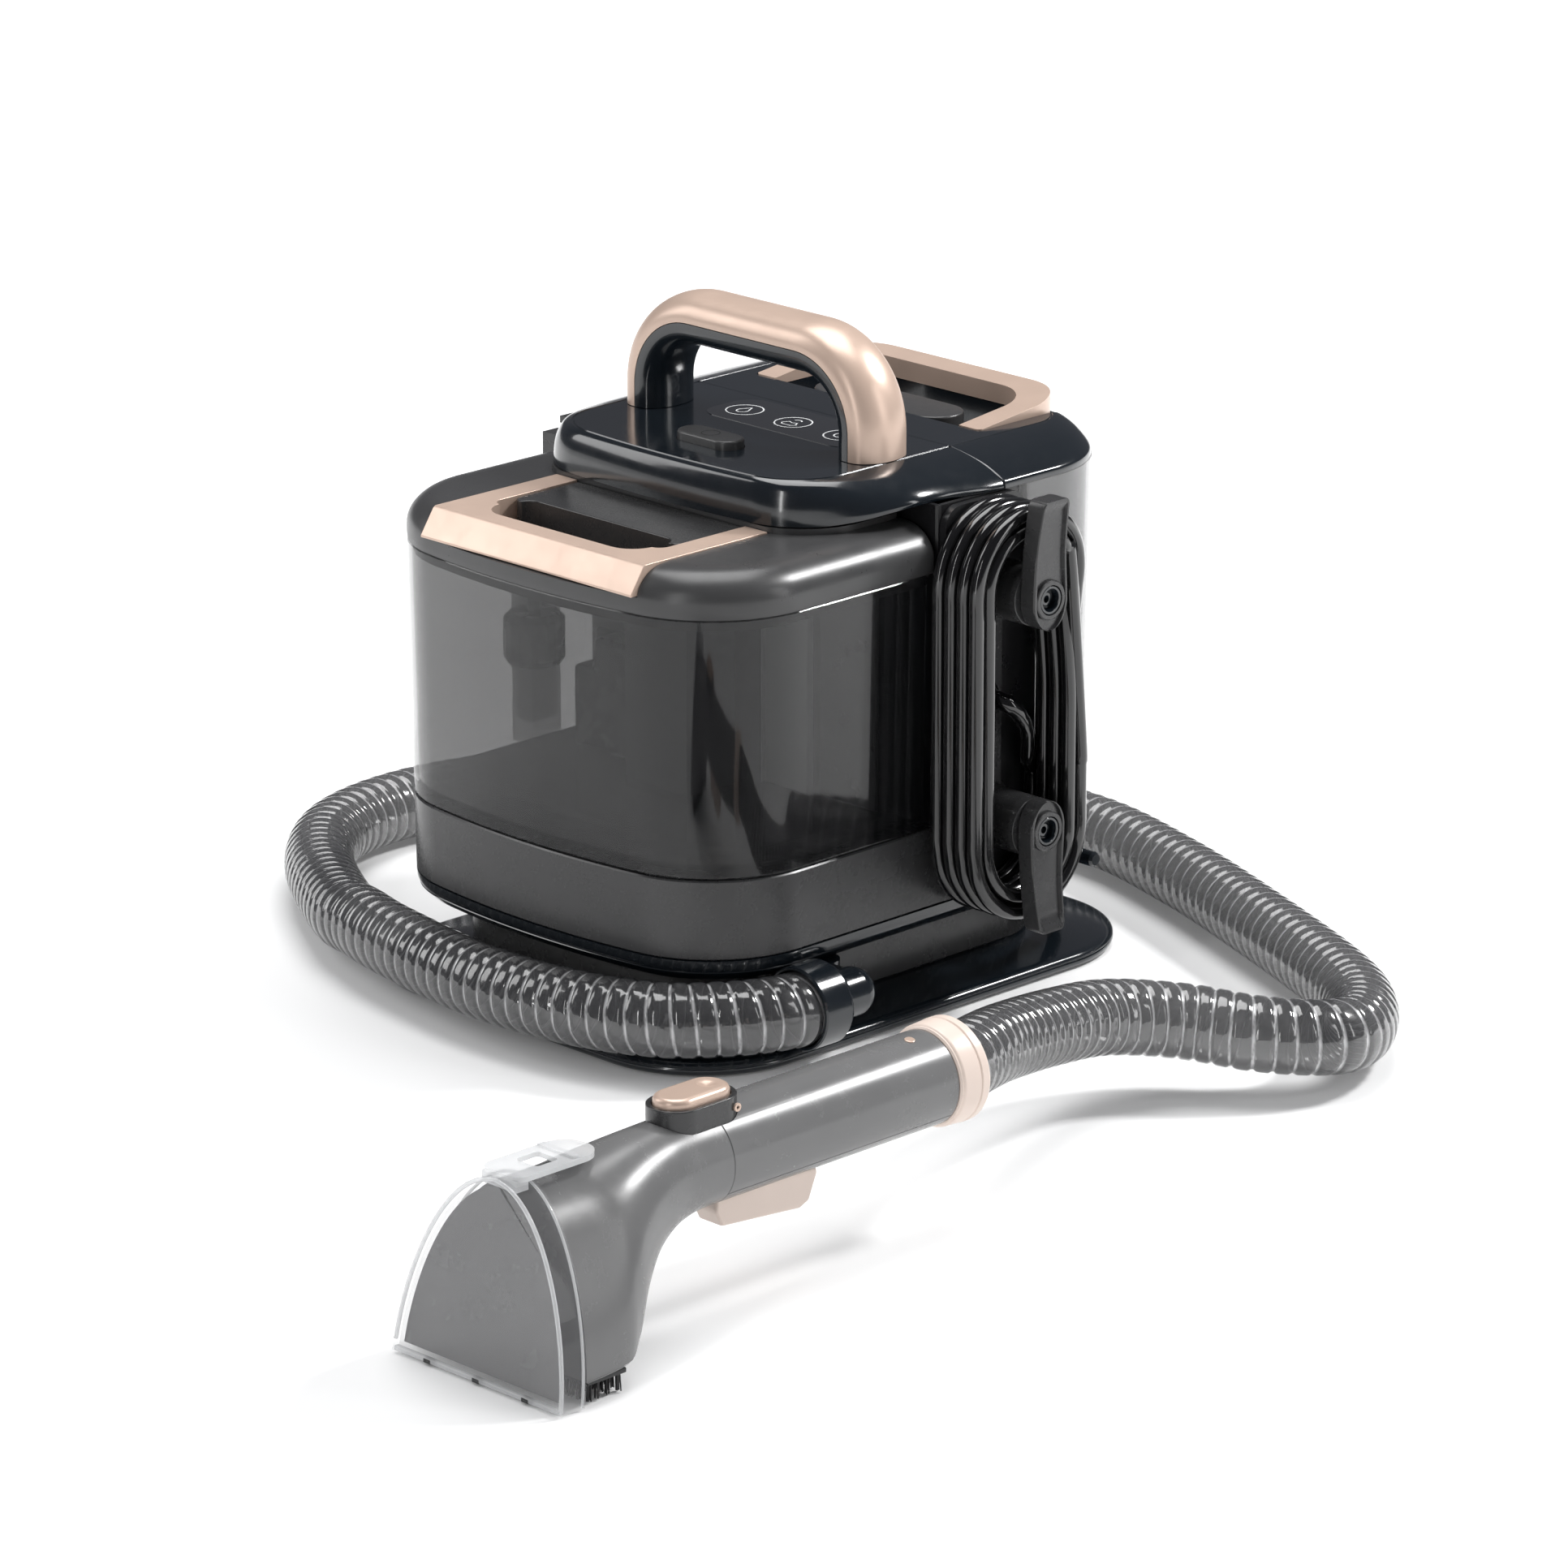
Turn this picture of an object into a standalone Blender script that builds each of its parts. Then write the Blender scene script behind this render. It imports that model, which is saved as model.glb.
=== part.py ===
"""Portable carpet and upholstery cleaner: machine, two tanks, hose, hand tool and power cord.

Metres, +Z up. The origin is the centre of the base's underside, on the floor.
-Y is the front (dirty water tank), +Y the back (clean water tank), and +X the
side that carries the wound power cord.
"""
import math

import bmesh
import bpy
from mathutils import Vector

GAP = 0.0003                      # clearance left between pieces that touch

# Body: one rounded plan shape that every casing piece follows
HALF_W = 0.120                    # half width at the tank lid
HALF_D = 0.149                    # half depth at the tank lid
CORNER_R = 0.058
FRONT_BOW_R = 0.45                # plan radius of the slightly bowed front face
TAPER = 0.0105                    # inward lean of the walls, metres per metre going down
CORNER_STEPS = 8

# Heights
Z_BASE_TOP = 0.0115
Z_SKIRT = 0.040
Z_BODY = 0.052
Z_TANK = 0.091
Z_CLEAN = 0.099
Z_LID = 0.2165
Z_LID_TOP = 0.238
Z_COVER = 0.248
Z_TOP = 0.262

# Where the tanks meet the centre column
Y_COLUMN_FRONT = 0.0063
Y_COLUMN_BACK = 0.0617
Y_SEAM = 0.049                    # joint between the front cover and the clean tank lid
WALL = 0.0025

# Base
BASE_HALF_W = 0.127
BASE_HALF_D = 0.158
BASE_R = 0.060
PEDESTAL_HALF_W = 0.095
PEDESTAL_HALF_D = 0.115
PEDESTAL_R = 0.035
FOOT_R = 0.011
FOOT_T = 0.0035
FOOT_X = 0.085
FOOT_Y = 0.112

# Carry handle
HANDLE_Y = 0.010
HANDLE_X = 0.072                  # centre of each post
HANDLE_Z = 0.3095                 # centre of the top bar
HANDLE_BEND = 0.036
HANDLE_HALF_DEPTH = 0.017
HANDLE_OUTER = 0.0130             # rose half, outward of the centre line
HANDLE_INNER = 0.0128             # navy half, inward of the centre line

# Cord wrap on the right side
WRAP_Y = 0.034
WRAP_X = 0.1190
POST_R = 0.0142
POST_END = 0.1552
HOOK_X0 = 0.1558
HOOK_T = 0.0092
HOOK_HALF_W = 0.0117
UPPER_PIVOT_Z = 0.206
LOWER_PIVOT_Z = 0.093
LEVER = 0.049
CORD_D = 0.0075
COIL_X0 = 0.1232
COIL_X1 = 0.1552
COIL_HALF_W = 0.0395
COIL_BAND = 0.0155                # two layers of cord
COIL_Z0 = 0.046
COIL_Z1 = 0.250

# Hose and its fittings
HOSE_D = 0.036
ELBOW = Vector((0.1290, -0.0620, 0.0280))
ELBOW_R = 0.0120
RISER_X = 0.1030
CUFF_R = 0.0203

# Hand tool: it stands on its nozzle in front of the machine
TOOL_X = 0.308
BARREL_Z = 0.067
BARREL_R = 0.0215
BARREL_Y0 = -0.3330
BARREL_Y1 = -0.1965
NOZZLE_LIP_Y = -0.4635
NOZZLE_LEAN = math.radians(8)
NOZZLE_HALF_W = 0.052
NOZZLE_H = 0.0885
NOZZLE_DEPTH = 0.014

# name: (linear colour, roughness, metallic)
PALETTE = {
    "navy": ((0.012, 0.018, 0.026), 0.22, 0.0),
    "charcoal": ((0.070, 0.070, 0.072), 0.42, 0.0),
    "tool_grey": ((0.120, 0.120, 0.122), 0.38, 0.0),
    "rose": ((0.560, 0.400, 0.310), 0.30, 0.35),
    "pale_rose": ((0.680, 0.580, 0.510), 0.35, 0.0),
    "smoke": ((0.300, 0.300, 0.300), 0.08, 0.0),
    "clear": ((0.750, 0.760, 0.770), 0.05, 0.0),
    "black_gloss": ((0.010, 0.010, 0.011), 0.18, 0.0),
    "rubber": ((0.018, 0.018, 0.018), 0.70, 0.0),
    "cord_black": ((0.008, 0.008, 0.009), 0.30, 0.0),
    "bristle": ((0.012, 0.012, 0.013), 0.55, 0.0),
    "inner_grey": ((0.160, 0.160, 0.165), 0.50, 0.0),
    "steel": ((0.550, 0.550, 0.560), 0.30, 1.0),
    "board": ((0.020, 0.120, 0.050), 0.50, 0.0),
}


# ---------------------------------------------------------------- helpers

def clear_scene():
    for old in list(bpy.data.objects):
        bpy.data.objects.remove(old, do_unlink=True)


def material(name):
    if name in bpy.data.materials:
        return bpy.data.materials[name]
    colour, roughness, metallic = PALETTE[name]
    mat = bpy.data.materials.new(name)
    mat.use_nodes = True
    shader = mat.node_tree.nodes["Principled BSDF"]
    shader.inputs["Base Color"].default_value = (*colour, 1.0)
    shader.inputs["Roughness"].default_value = roughness
    shader.inputs["Metallic"].default_value = metallic
    if name in ("smoke", "clear"):
        shader.inputs["Transmission Weight"].default_value = 0.9
        shader.inputs["Alpha"].default_value = 0.4
    return mat


def own_material(name, base):
    """Each piece has its own copy of the material it is made of."""
    mat = material(base).copy()
    mat.name = name
    return mat


def solid(name, points, faces, base):
    mesh = bpy.data.meshes.new(name)
    mesh.from_pydata([tuple(p) for p in points], [], faces)
    bm = bmesh.new()
    bm.from_mesh(mesh)
    bmesh.ops.recalc_face_normals(bm, faces=bm.faces)
    bm.to_mesh(mesh)
    bm.free()
    obj = bpy.data.objects.new(name, mesh)
    bpy.context.collection.objects.link(obj)
    obj.data.materials.append(own_material(name, base))
    return obj


def loft(name, rings, base, closed=False):
    """Skin a list of rings that all have the same number of points."""
    count = len(rings[0])
    points = [p for ring in rings for p in ring]
    faces = []
    spans = len(rings) if closed else len(rings) - 1
    for i in range(spans):
        a = i * count
        b = ((i + 1) % len(rings)) * count
        for j in range(count):
            k = (j + 1) % count
            faces.append((a + j, a + k, b + k, b + j))
    if not closed:
        faces.append(tuple(range(count)))
        faces.append(tuple(range(len(points) - count, len(points))))
    return solid(name, points, faces, base)


def prism(name, outline, z0, z1, base):
    low = [Vector((x, y, z0)) for x, y in outline]
    high = [Vector((x, y, z1)) for x, y in outline]
    return loft(name, [low, high], base)


def box(name, x0, x1, y0, y1, z0, z1, base):
    return prism(name, [(x0, y0), (x1, y0), (x1, y1), (x0, y1)], z0, z1, base)


def basis(axis):
    axis = Vector(axis).normalized()
    side = Vector((0, 0, 1)).cross(axis)
    if side.length < 1e-6:
        side = Vector((1, 0, 0))
    side.normalize()
    return axis, side, axis.cross(side)


def circle(centre, axis, radius, steps):
    _, side, up = basis(axis)
    turn = [2 * math.pi * i / steps for i in range(steps)]
    return [Vector(centre) + radius * (math.cos(t) * side + math.sin(t) * up) for t in turn]


def turned(name, profile, centre, axis, base, steps=24):
    """A solid of revolution: profile is (distance along axis, radius)."""
    axis = Vector(axis).normalized()
    rings = [circle(Vector(centre) + h * axis, axis, r, steps) for h, r in profile]
    return loft(name, rings, base)


def pipe(name, profile, bore, centre, axis, base, steps=24):
    """A turned ring: the outer profile is (distance, radius), the bore is straight."""
    axis = Vector(axis).normalized()
    centre = Vector(centre)
    rings = [circle(centre + h * axis, axis, r, steps) for h, r in profile]
    rings += [circle(centre + h * axis, axis, bore, steps) for h in (profile[-1][0], profile[0][0])]
    return loft(name, rings, base, closed=True)


def combine(target, others, operation):
    """Apply an exact Boolean with each of the others, then remove them."""
    for other in others:
        other.hide_render = True
        other.display_type = "WIRE"
        step = target.modifiers.new(operation.lower(), "BOOLEAN")
        step.operation = operation
        step.solver = "EXACT"
        step.object = other
        bpy.context.view_layer.update()
        graph = bpy.context.evaluated_depsgraph_get()
        result = bpy.data.meshes.new_from_object(target.evaluated_get(graph))
        target.modifiers.clear()
        target.data = result
        bpy.data.objects.remove(other, do_unlink=True)
    return target


def cut(target, *cutters):
    return combine(target, cutters, "DIFFERENCE")


def join(target, *others):
    return combine(target, others, "UNION")


def arc(cx, cy, radius, start, end, steps):
    """Points along an arc, angles in degrees."""
    out = []
    for i in range(steps + 1):
        t = math.radians(start + (end - start) * i / steps)
        out.append((cx + radius * math.cos(t), cy + radius * math.sin(t)))
    return out


def rounded(x0, x1, y0, y1, radii, steps=CORNER_STEPS):
    """Rounded rectangle; radii run front left, front right, back right, back left."""
    fl, fr, br, bl = radii
    outline = arc(x0 + fl, y0 + fl, fl, 180, 270, steps)
    outline += arc(x1 - fr, y0 + fr, fr, 270, 360, steps)
    outline += arc(x1 - br, y1 - br, br, 0, 90, steps)
    outline += arc(x0 + bl, y1 - bl, bl, 90, 180, steps)
    return outline


def bowed(half_w, y0, y1, front_r, back_r, inset=0.0, bow=FRONT_BOW_R, steps=CORNER_STEPS):
    """Body plan with a bowed front. The inset moves the front and sides in, not the back.

    With y1 None the back is the front's mirror image.
    """
    w = half_w - inset
    r = front_r - inset
    big = bow - inset
    reach = math.asin((w - r) / (big - r))
    cy = y0 + inset + big - (big - r) * math.cos(reach)
    turn = math.degrees(reach)
    front = arc(0, y0 + inset + big, big, 270 - turn, 270 + turn, 6)[1:-1]
    outline = arc(r - w, cy, r, 180, 270 - turn, steps)
    outline += front
    outline += arc(w - r, cy, r, 270 + turn, 360, steps)
    if y1 is None:
        return outline + [(-x, -y) for x, y in outline]
    outline += arc(w - back_r, y1 - back_r, back_r, 0, 90, steps // 2)
    outline += arc(back_r - w, y1 - back_r, back_r, 90, 180, steps // 2)
    return outline


def whole_plan(z, inset):
    """The body's plan at a height: bowed at the front and, mirrored, at the back."""
    return bowed(half_width(z), -half_depth(z), None, CORNER_R, 0, inset)


def half_width(z):
    return HALF_W - TAPER * (Z_LID - z)


def half_depth(z):
    return HALF_D - TAPER * (Z_LID - z)


def at(outline, z):
    return [Vector((x, y, z)) for x, y in outline]


def stadium(length, width, cx, cy, steps=8):
    """Slot outline that runs along X."""
    r = width / 2
    straight = length / 2 - r
    outline = arc(cx + straight, cy, r, -90, 90, steps)
    outline += arc(cx - straight, cy, r, 90, 270, steps)
    return outline


def smooth_route(points, spacing):
    """Points at even spacing along a smooth curve through the hand-chosen ones."""
    pts = [Vector(p) for p in points]
    ends = [2 * pts[0] - pts[1]] + pts + [2 * pts[-1] - pts[-2]]
    dense = []
    for i in range(1, len(ends) - 2):
        a, b, c, d = ends[i - 1:i + 3]
        for k in range(24):
            t = k / 24
            dense.append(0.5 * (2 * b + (c - a) * t + (2 * a - 5 * b + 4 * c - d) * t * t
                                + (3 * b - a - 3 * c + d) * t ** 3))
    dense.append(pts[-1])
    length = sum((q - p).length for p, q in zip(dense, dense[1:]))
    count = max(2, round(length / spacing))
    out = [dense[0]]
    walked = 0.0
    target = length / count
    for p, q in zip(dense, dense[1:]):
        step = (q - p).length
        while walked + step >= target - 1e-9 and len(out) < count:
            out.append(p.lerp(q, (target - walked) / step))
            target += length / count
        walked += step
    out.append(dense[-1])
    return out


def plugged_route(points, spacing):
    """A smooth route whose first and last pieces stay straight, inside their sockets."""
    return [Vector(points[0])] + smooth_route(points[1:-1], spacing) + [Vector(points[-1])]


def tube_along(name, route, diameter, base, resolution=3):
    curve = bpy.data.curves.new(name, "CURVE")
    curve.dimensions = "3D"
    curve.bevel_depth = diameter / 2
    curve.bevel_resolution = resolution
    curve.use_fill_caps = True
    spline = curve.splines.new("POLY")
    spline.points.add(len(route) - 1)
    for point, place in zip(spline.points, route):
        point.co = (*place, 1.0)
    obj = bpy.data.objects.new(name, curve)
    bpy.context.collection.objects.link(obj)
    obj.data.materials.append(own_material(name, base))
    return obj


# ---------------------------------------------------------------- base

def base_outline(inset):
    w, d, r = BASE_HALF_W - inset, BASE_HALF_D - inset, BASE_R - inset
    return rounded(-w, w, -d, d, (r, r, r, r))


def pedestal_outline(inset):
    w, d, r = PEDESTAL_HALF_W - inset, PEDESTAL_HALF_D - inset, PEDESTAL_R - inset
    return rounded(-w, w, -d, d, (r, r, r, r))


def build_base():
    """A thin plate that slopes up to the pedestal, with four rubber feet let into it."""
    levels = [(0.0, 0.0020), (0.0030, 0.0), (0.0062, 0.0008), (0.0078, 0.0035)]
    rings = [at(base_outline(inset), z) for z, inset in levels]
    rings.append(at(pedestal_outline(-0.001), Z_BASE_TOP))
    plate = loft("base_plate", rings, "navy")
    pockets = []
    for sx in (-1, 1):
        for sy in (-1, 1):
            place = (sx * FOOT_X, sy * FOOT_Y, -0.001)
            depth = 0.001 + FOOT_T + GAP
            pockets.append(turned("pocket", [(0, FOOT_R + GAP), (depth, FOOT_R + GAP)],
                                  place, (0, 0, 1), "rubber"))
    cut(plate, *pockets)
    for name, sx, sy in (("foot_front_left", -1, -1), ("foot_front_right", 1, -1),
                         ("foot_back_left", -1, 1), ("foot_back_right", 1, 1)):
        turned(name, [(0, FOOT_R - 0.0005), (0.0005, FOOT_R), (FOOT_T, FOOT_R)],
               (sx * FOOT_X, sy * FOOT_Y, 0), (0, 0, 1), "rubber")


def build_pedestal():
    outer = prism("pedestal", pedestal_outline(0), Z_BASE_TOP + GAP, Z_SKIRT - GAP, "charcoal")
    inner = prism("hollow", pedestal_outline(0.004), 0, 0.1, "charcoal")
    cut(outer, inner)


def build_lower_body():
    """Navy skirt below the grey tray that both tanks stand on."""
    def ring(z, inset):
        return at(whole_plan(z, inset), z)

    skirt = loft("lower_skirt", [ring(Z_SKIRT, 0.006), ring(Z_SKIRT + 0.004, 0.0015),
                                 ring(Z_SKIRT + 0.008, 0), ring(Z_BODY - GAP, 0)], "navy")
    cut(skirt, prism("hole", pedestal_outline(0.010), 0, 0.1, "navy"))

    tray = loft("lower_body", [ring(Z_BODY, 0), ring(Z_TANK - GAP, 0)], "charcoal")
    riser = prism("riser", whole_plan(Z_TANK, 0.0001), Z_TANK - 0.002, Z_CLEAN - GAP, "charcoal")
    cut(riser, box("front", -1, 1, -1, Y_COLUMN_BACK + GAP, 0, 1, "charcoal"))
    join(tray, riser)
    cut(tray, prism("hollow", whole_plan(Z_BODY, 0.003), 0, Z_TANK - 0.0035, "charcoal"),
        box("duct_way", -0.065, -0.025, 0.014, 0.054, 0.05, 0.2, "charcoal"),
        turned("valve_way", [(0, 0.0085), (0.05, 0.0085)], (0.055, 0.105, 0.07), (0, 0, 1), "charcoal"))


def build_column():
    """The centre column between the tanks, with the cord panel on its right side."""
    w = half_width(Z_TANK) - 0.0002
    outer = prism("column_shell", rounded(-w, w, Y_COLUMN_FRONT, Y_COLUMN_BACK, (0.002,) * 4, 2),
                  Z_TANK, Z_COVER - GAP, "charcoal")
    inner = box("hollow", WALL - w, w - WALL, Y_COLUMN_FRONT + WALL, Y_COLUMN_BACK - WALL,
                0, 1, "charcoal")
    cut(outer, inner, box("cord_way", 0.11, 0.13, WRAP_Y - 0.004, WRAP_Y + 0.004,
                          0.146, 0.154, "charcoal"))

    half = (Y_COLUMN_BACK - Y_COLUMN_FRONT) / 2 - 0.0005
    middle = (Y_COLUMN_BACK + Y_COLUMN_FRONT) / 2
    outline = rounded(middle - half, middle + half, 0.060, Z_COVER - 0.001,
                      (0.004, 0.004, 0.010, 0.010), 5)
    rings = [[Vector((x, a, b)) for a, b in outline] for x in (WRAP_X, COIL_X0 - GAP)]
    panel = loft("cord_panel", rings, "charcoal")
    posts = [turned("post", [(0, POST_R + 0.0020), (0.0040, POST_R), (POST_END - COIL_X0 + 0.0007, POST_R)],
                    (COIL_X0 - 0.0010, WRAP_Y, pivot_z), (1, 0, 0), "charcoal")
             for pivot_z in (UPPER_PIVOT_Z, LOWER_PIVOT_Z)]
    join(panel, *posts)
    cut(panel, turned("way", [(0, 0.0045), (0.02, 0.0045)], (0.115, WRAP_Y, 0.150),
                      (1, 0, 0), "charcoal"))


# ---------------------------------------------------------------- cord wrap

def lever_rings(pivot_z, direction):
    """Sections of a hook lever, from its round foot to its flared tip."""
    rings = []
    foot = HOOK_HALF_W + 0.0030
    spans = [-1.0, -0.95, -0.80, -0.55, -0.25]
    heights = [s * foot for s in spans]
    widths = [HOOK_HALF_W * math.sqrt(max(0.06, 1 - s * s)) for s in spans]
    for f in (0.15, 0.45, 0.70, 0.86, 0.95, 1.0):
        heights.append(f * LEVER)
        widths.append(HOOK_HALF_W * (1 - 0.10 * f))
    widths[-1] *= 0.72
    for h, w in zip(heights, widths):
        flare = 0.0045 * max(0.0, h / LEVER - 0.35) ** 1.5
        x0 = HOOK_X0 + flare
        x1 = HOOK_X0 + HOOK_T + flare * 1.6
        z = pivot_z + direction * h
        rings.append([Vector((x0, WRAP_Y - w, z)), Vector((x1, WRAP_Y - w * 0.9, z)),
                      Vector((x1, WRAP_Y + w * 0.9, z)), Vector((x0, WRAP_Y + w, z))])
    return rings


def build_cord_wrap():
    for name, pivot_z, direction in (("upper", UPPER_PIVOT_Z, 1), ("lower", LOWER_PIVOT_Z, -1)):
        lever = loft(name + "_cord_hook", lever_rings(pivot_z, direction), "charcoal")
        bore = turned("bore", [(-0.01, 0.0073), (0.03, 0.0073)],
                      (HOOK_X0, WRAP_Y, pivot_z), (1, 0, 0), "charcoal")
        cut(lever, bore)
        pin_length = HOOK_T + 0.0004
        pin = turned(name + "_hook_pin", [(0, 0.0070), (pin_length, 0.0070)],
                     (POST_END + 0.0001, WRAP_Y, pivot_z), (1, 0, 0), "navy")
        dish = turned("dish", [(0, 0.0050), (0.01, 0.0050)],
                      (POST_END + pin_length - 0.0040, WRAP_Y, pivot_z), (1, 0, 0), "navy")
        cut(pin, dish)


def racetrack(half_w, z0, z1, steps=10):
    outline = arc(WRAP_Y, z1 - half_w, half_w, 0, 180, steps)
    outline += arc(WRAP_Y, z0 + half_w, half_w, 180, 360, steps)
    return outline


def build_coil():
    """Eight turns of cord, as one closed racetrack band."""
    outer = racetrack(COIL_HALF_W, COIL_Z0, COIL_Z1)
    inner = racetrack(COIL_HALF_W - COIL_BAND, COIL_Z0 + COIL_BAND, COIL_Z1 - COIL_BAND)
    edge = 0.003
    soft = racetrack(COIL_HALF_W - edge, COIL_Z0 + edge, COIL_Z1 - edge)
    rings = [(outer, COIL_X0 + edge), (outer, COIL_X1 - edge), (soft, COIL_X1),
             (inner, COIL_X1), (inner, COIL_X0), (soft, COIL_X0)]
    loft("cord_coil", [[Vector((x, y, z)) for y, z in ring] for ring, x in rings],
         "cord_black", closed=True)


# The lead leaves the panel through its gland and joins the coil's inside
LEAD_ROUTE = [(0.1235, 0.034, 0.150), (0.1290, 0.034, 0.150), (0.1345, 0.0370, 0.148),
              (0.1375, 0.0425, 0.143), (0.1392, 0.0490, 0.134), (0.1395, 0.0538, 0.124)]
# The tail leaves the bottom of the coil and tucks under the skirt to the plug behind
TAIL_ROUTE = [(0.1330, 0.0655, 0.0540), (0.1305, 0.0710, 0.0440), (0.1250, 0.0775, 0.0340),
              (0.1170, 0.0860, 0.0245), (0.1085, 0.0980, 0.0188), (0.0980, 0.1125, 0.0166),
              (0.0840, 0.1245, 0.0162), (0.0640, 0.1310, 0.0172), (0.0540, 0.1328, 0.0215),
              (0.0436, 0.1338, 0.0241)]
PLUG_Y = 0.1338
PLUG_Z = 0.0243


def build_power_cord():
    pipe("cord_gland", [(0, 0.0060), (0.0030, 0.0060), (0.0034, 0.0048), (0.0045, 0.0046)],
         CORD_D / 2 + GAP, (COIL_X0 + 0.0001, WRAP_Y, 0.150), (1, 0, 0), "rubber", 16)
    lead = plugged_route(LEAD_ROUTE, CORD_D * 1.1)
    tube_along("power_cord_lead", lead, CORD_D, "cord_black")
    tail = smooth_route(TAIL_ROUTE, CORD_D * 2)
    tube_along("power_cord_tail", tail, CORD_D, "cord_black")
    plug = turned("power_plug", [(0, 0.0060), (0.006, 0.0075), (0.014, 0.0100), (0.030, 0.0118),
                                 (0.038, 0.0118)],
                  (0.0414, PLUG_Y, PLUG_Z), (-1, 0, 0), "cord_black", 20)
    blades = [turned("pin", [(0.034, 0.0024), (0.0575, 0.0024)],
                     (0.0414, PLUG_Y + s * 0.0055, PLUG_Z), (-1, 0, 0), "steel", 12) for s in (-1, 1)]
    join(plug, *blades)
    turned("hose_peg", [(0, 0.0050), (0.003, 0.00375), (0.0255, 0.00375), (0.0270, 0.0028)],
           (0.1188, 0.088, 0.0617), (1, 0, 0), "navy", 16)


# ---------------------------------------------------------------- dirty tank

def front_slice(z, inset, y_back=0.0045, front_r=CORNER_R):
    return at(bowed(half_width(z), -half_depth(z), y_back, front_r, 0.004, inset), z)


def build_dirty_tank():
    shell = loft("dirty_tank_shell", [front_slice(Z_TANK, 0), front_slice(Z_LID - GAP, 0)], "smoke")
    inner = [bowed(half_width(z), -half_depth(z), 0.0045 - WALL, CORNER_R, 0.003, WALL)
             for z in (Z_TANK, Z_LID)]
    cavity = loft("cavity", [at(inner[0], Z_TANK + 0.003), at(inner[1], Z_LID + 0.01)], "smoke")
    cut(shell, cavity)

    seal_out = bowed(half_width(Z_LID), -half_depth(Z_LID), 0.0045 - WALL - GAP, CORNER_R, 0.003,
                     WALL + GAP)
    seal_in = bowed(half_width(Z_LID), -half_depth(Z_LID), -0.0020, CORNER_R, 0.003, 0.0060)
    seal = prism("dirty_tank_seal", seal_out, Z_LID - 0.006, Z_LID - GAP, "rubber")
    cut(seal, prism("middle", seal_in, 0, 1, "rubber"))

    # Dirty water rises in this duct and spills over its top
    duct = box("intake_duct", -0.022, 0.020, -0.062, -0.030, Z_TANK + 0.003 + GAP, 0.196, "inner_grey")
    cut(duct, box("way", -0.0195, 0.0175, -0.0595, -0.0325, 0.099, 0.25, "inner_grey"))
    turned("shutoff_float", [(0, 0.013), (0.003, 0.015), (0.022, 0.015), (0.025, 0.012),
                             (0.0251, 0.0034), (0.060, 0.0034)],
           (-0.069, -0.077, 0.150), (0, 0, 1), "pale_rose", 20)


SLOT_Y = -0.1130
TRIM_Y1 = -0.0590
TRIM_X = 0.0715


def build_dirty_lid():
    levels = [(Z_LID, 0.0), (0.2260, 0.0004), (0.2310, 0.0030), (0.2350, 0.0075), (0.2372, 0.0130),
              (Z_LID_TOP, 0.0200)]
    rings = []
    for z, inset in levels:
        outline = bowed(HALF_W, -HALF_D, 0.0045, CORNER_R, 0.004, inset)
        rings.append(at(outline, z))
    lid = loft("dirty_tank_lid", rings, "charcoal")
    pad = prism("pad", rounded(-0.0955, 0.0955, -0.0612, 0.0040, (0.038, 0.038, 0.003, 0.003)),
                0.230, 0.2408, "charcoal")
    guide = box("float_guide", -0.088, -0.050, -0.096, -0.058, 0.1980, 0.2200, "charcoal")
    join(lid, pad, guide)
    cut(lid, turned("stem_way", [(0, 0.0040), (0.05, 0.0040)], (-0.069, -0.077, 0.1723), (0, 0, 1),
                    "charcoal", 16))
    # Pocket for the rose trim, the latch plate and the fingers
    pocket = rounded(-TRIM_X - GAP, TRIM_X + GAP, -0.2, TRIM_Y1 + GAP, (0.0003,) * 4, 1)
    well = stadium(0.106, 0.030, 0, SLOT_Y)
    cut(lid, prism("pocket", pocket, 0.2245, 0.3, "charcoal"),
        prism("well", well, Z_LID + 0.0025, 0.3, "charcoal"))

    # U-shaped trim: a sloped front facet and two arms running back
    def section(y, z):
        return [Vector((-TRIM_X, y, z)), Vector((TRIM_X, y, z))]

    low, high = 0.2250, Z_LID_TOP + 0.0008
    face = [section(-0.1466, low), section(-0.1466, low + 0.001), section(-0.1386, high - 0.001),
            section(-0.1372, high), section(TRIM_Y1, high), section(TRIM_Y1, low)]
    points = [pair[0] for pair in face] + [pair[1] for pair in face]
    n = len(face)
    faces = [tuple(range(n)), tuple(range(n, 2 * n))]
    faces += [(i, (i + 1) % n, (i + 1) % n + n, i + n) for i in range(n)]
    trim = solid("tank_grip_trim", points, faces, "rose")
    opening = stadium(0.104, 0.028, 0, SLOT_Y)
    bay = rounded(-0.0570, 0.0570, SLOT_Y - 0.0015, 0.1, (0.006, 0.006, 0.002, 0.002), 4)
    cut(trim, prism("slot", opening, 0.2, 0.3, "rose"), prism("bay", bay, 0.2, 0.3, "rose"))

    plate = rounded(-0.0565, 0.0565, SLOT_Y + 0.0110, TRIM_Y1 - GAP, (0.006, 0.006, 0.002, 0.002), 4)
    latch = prism("tank_latch", plate, 0.2252, Z_LID_TOP, "charcoal")
    notch = stadium(0.100, 0.014, 0, SLOT_Y + 0.0095)
    cut(latch, prism("notch", notch, 0.2, 0.3, "charcoal"))


# ---------------------------------------------------------------- top cover and handle

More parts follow.
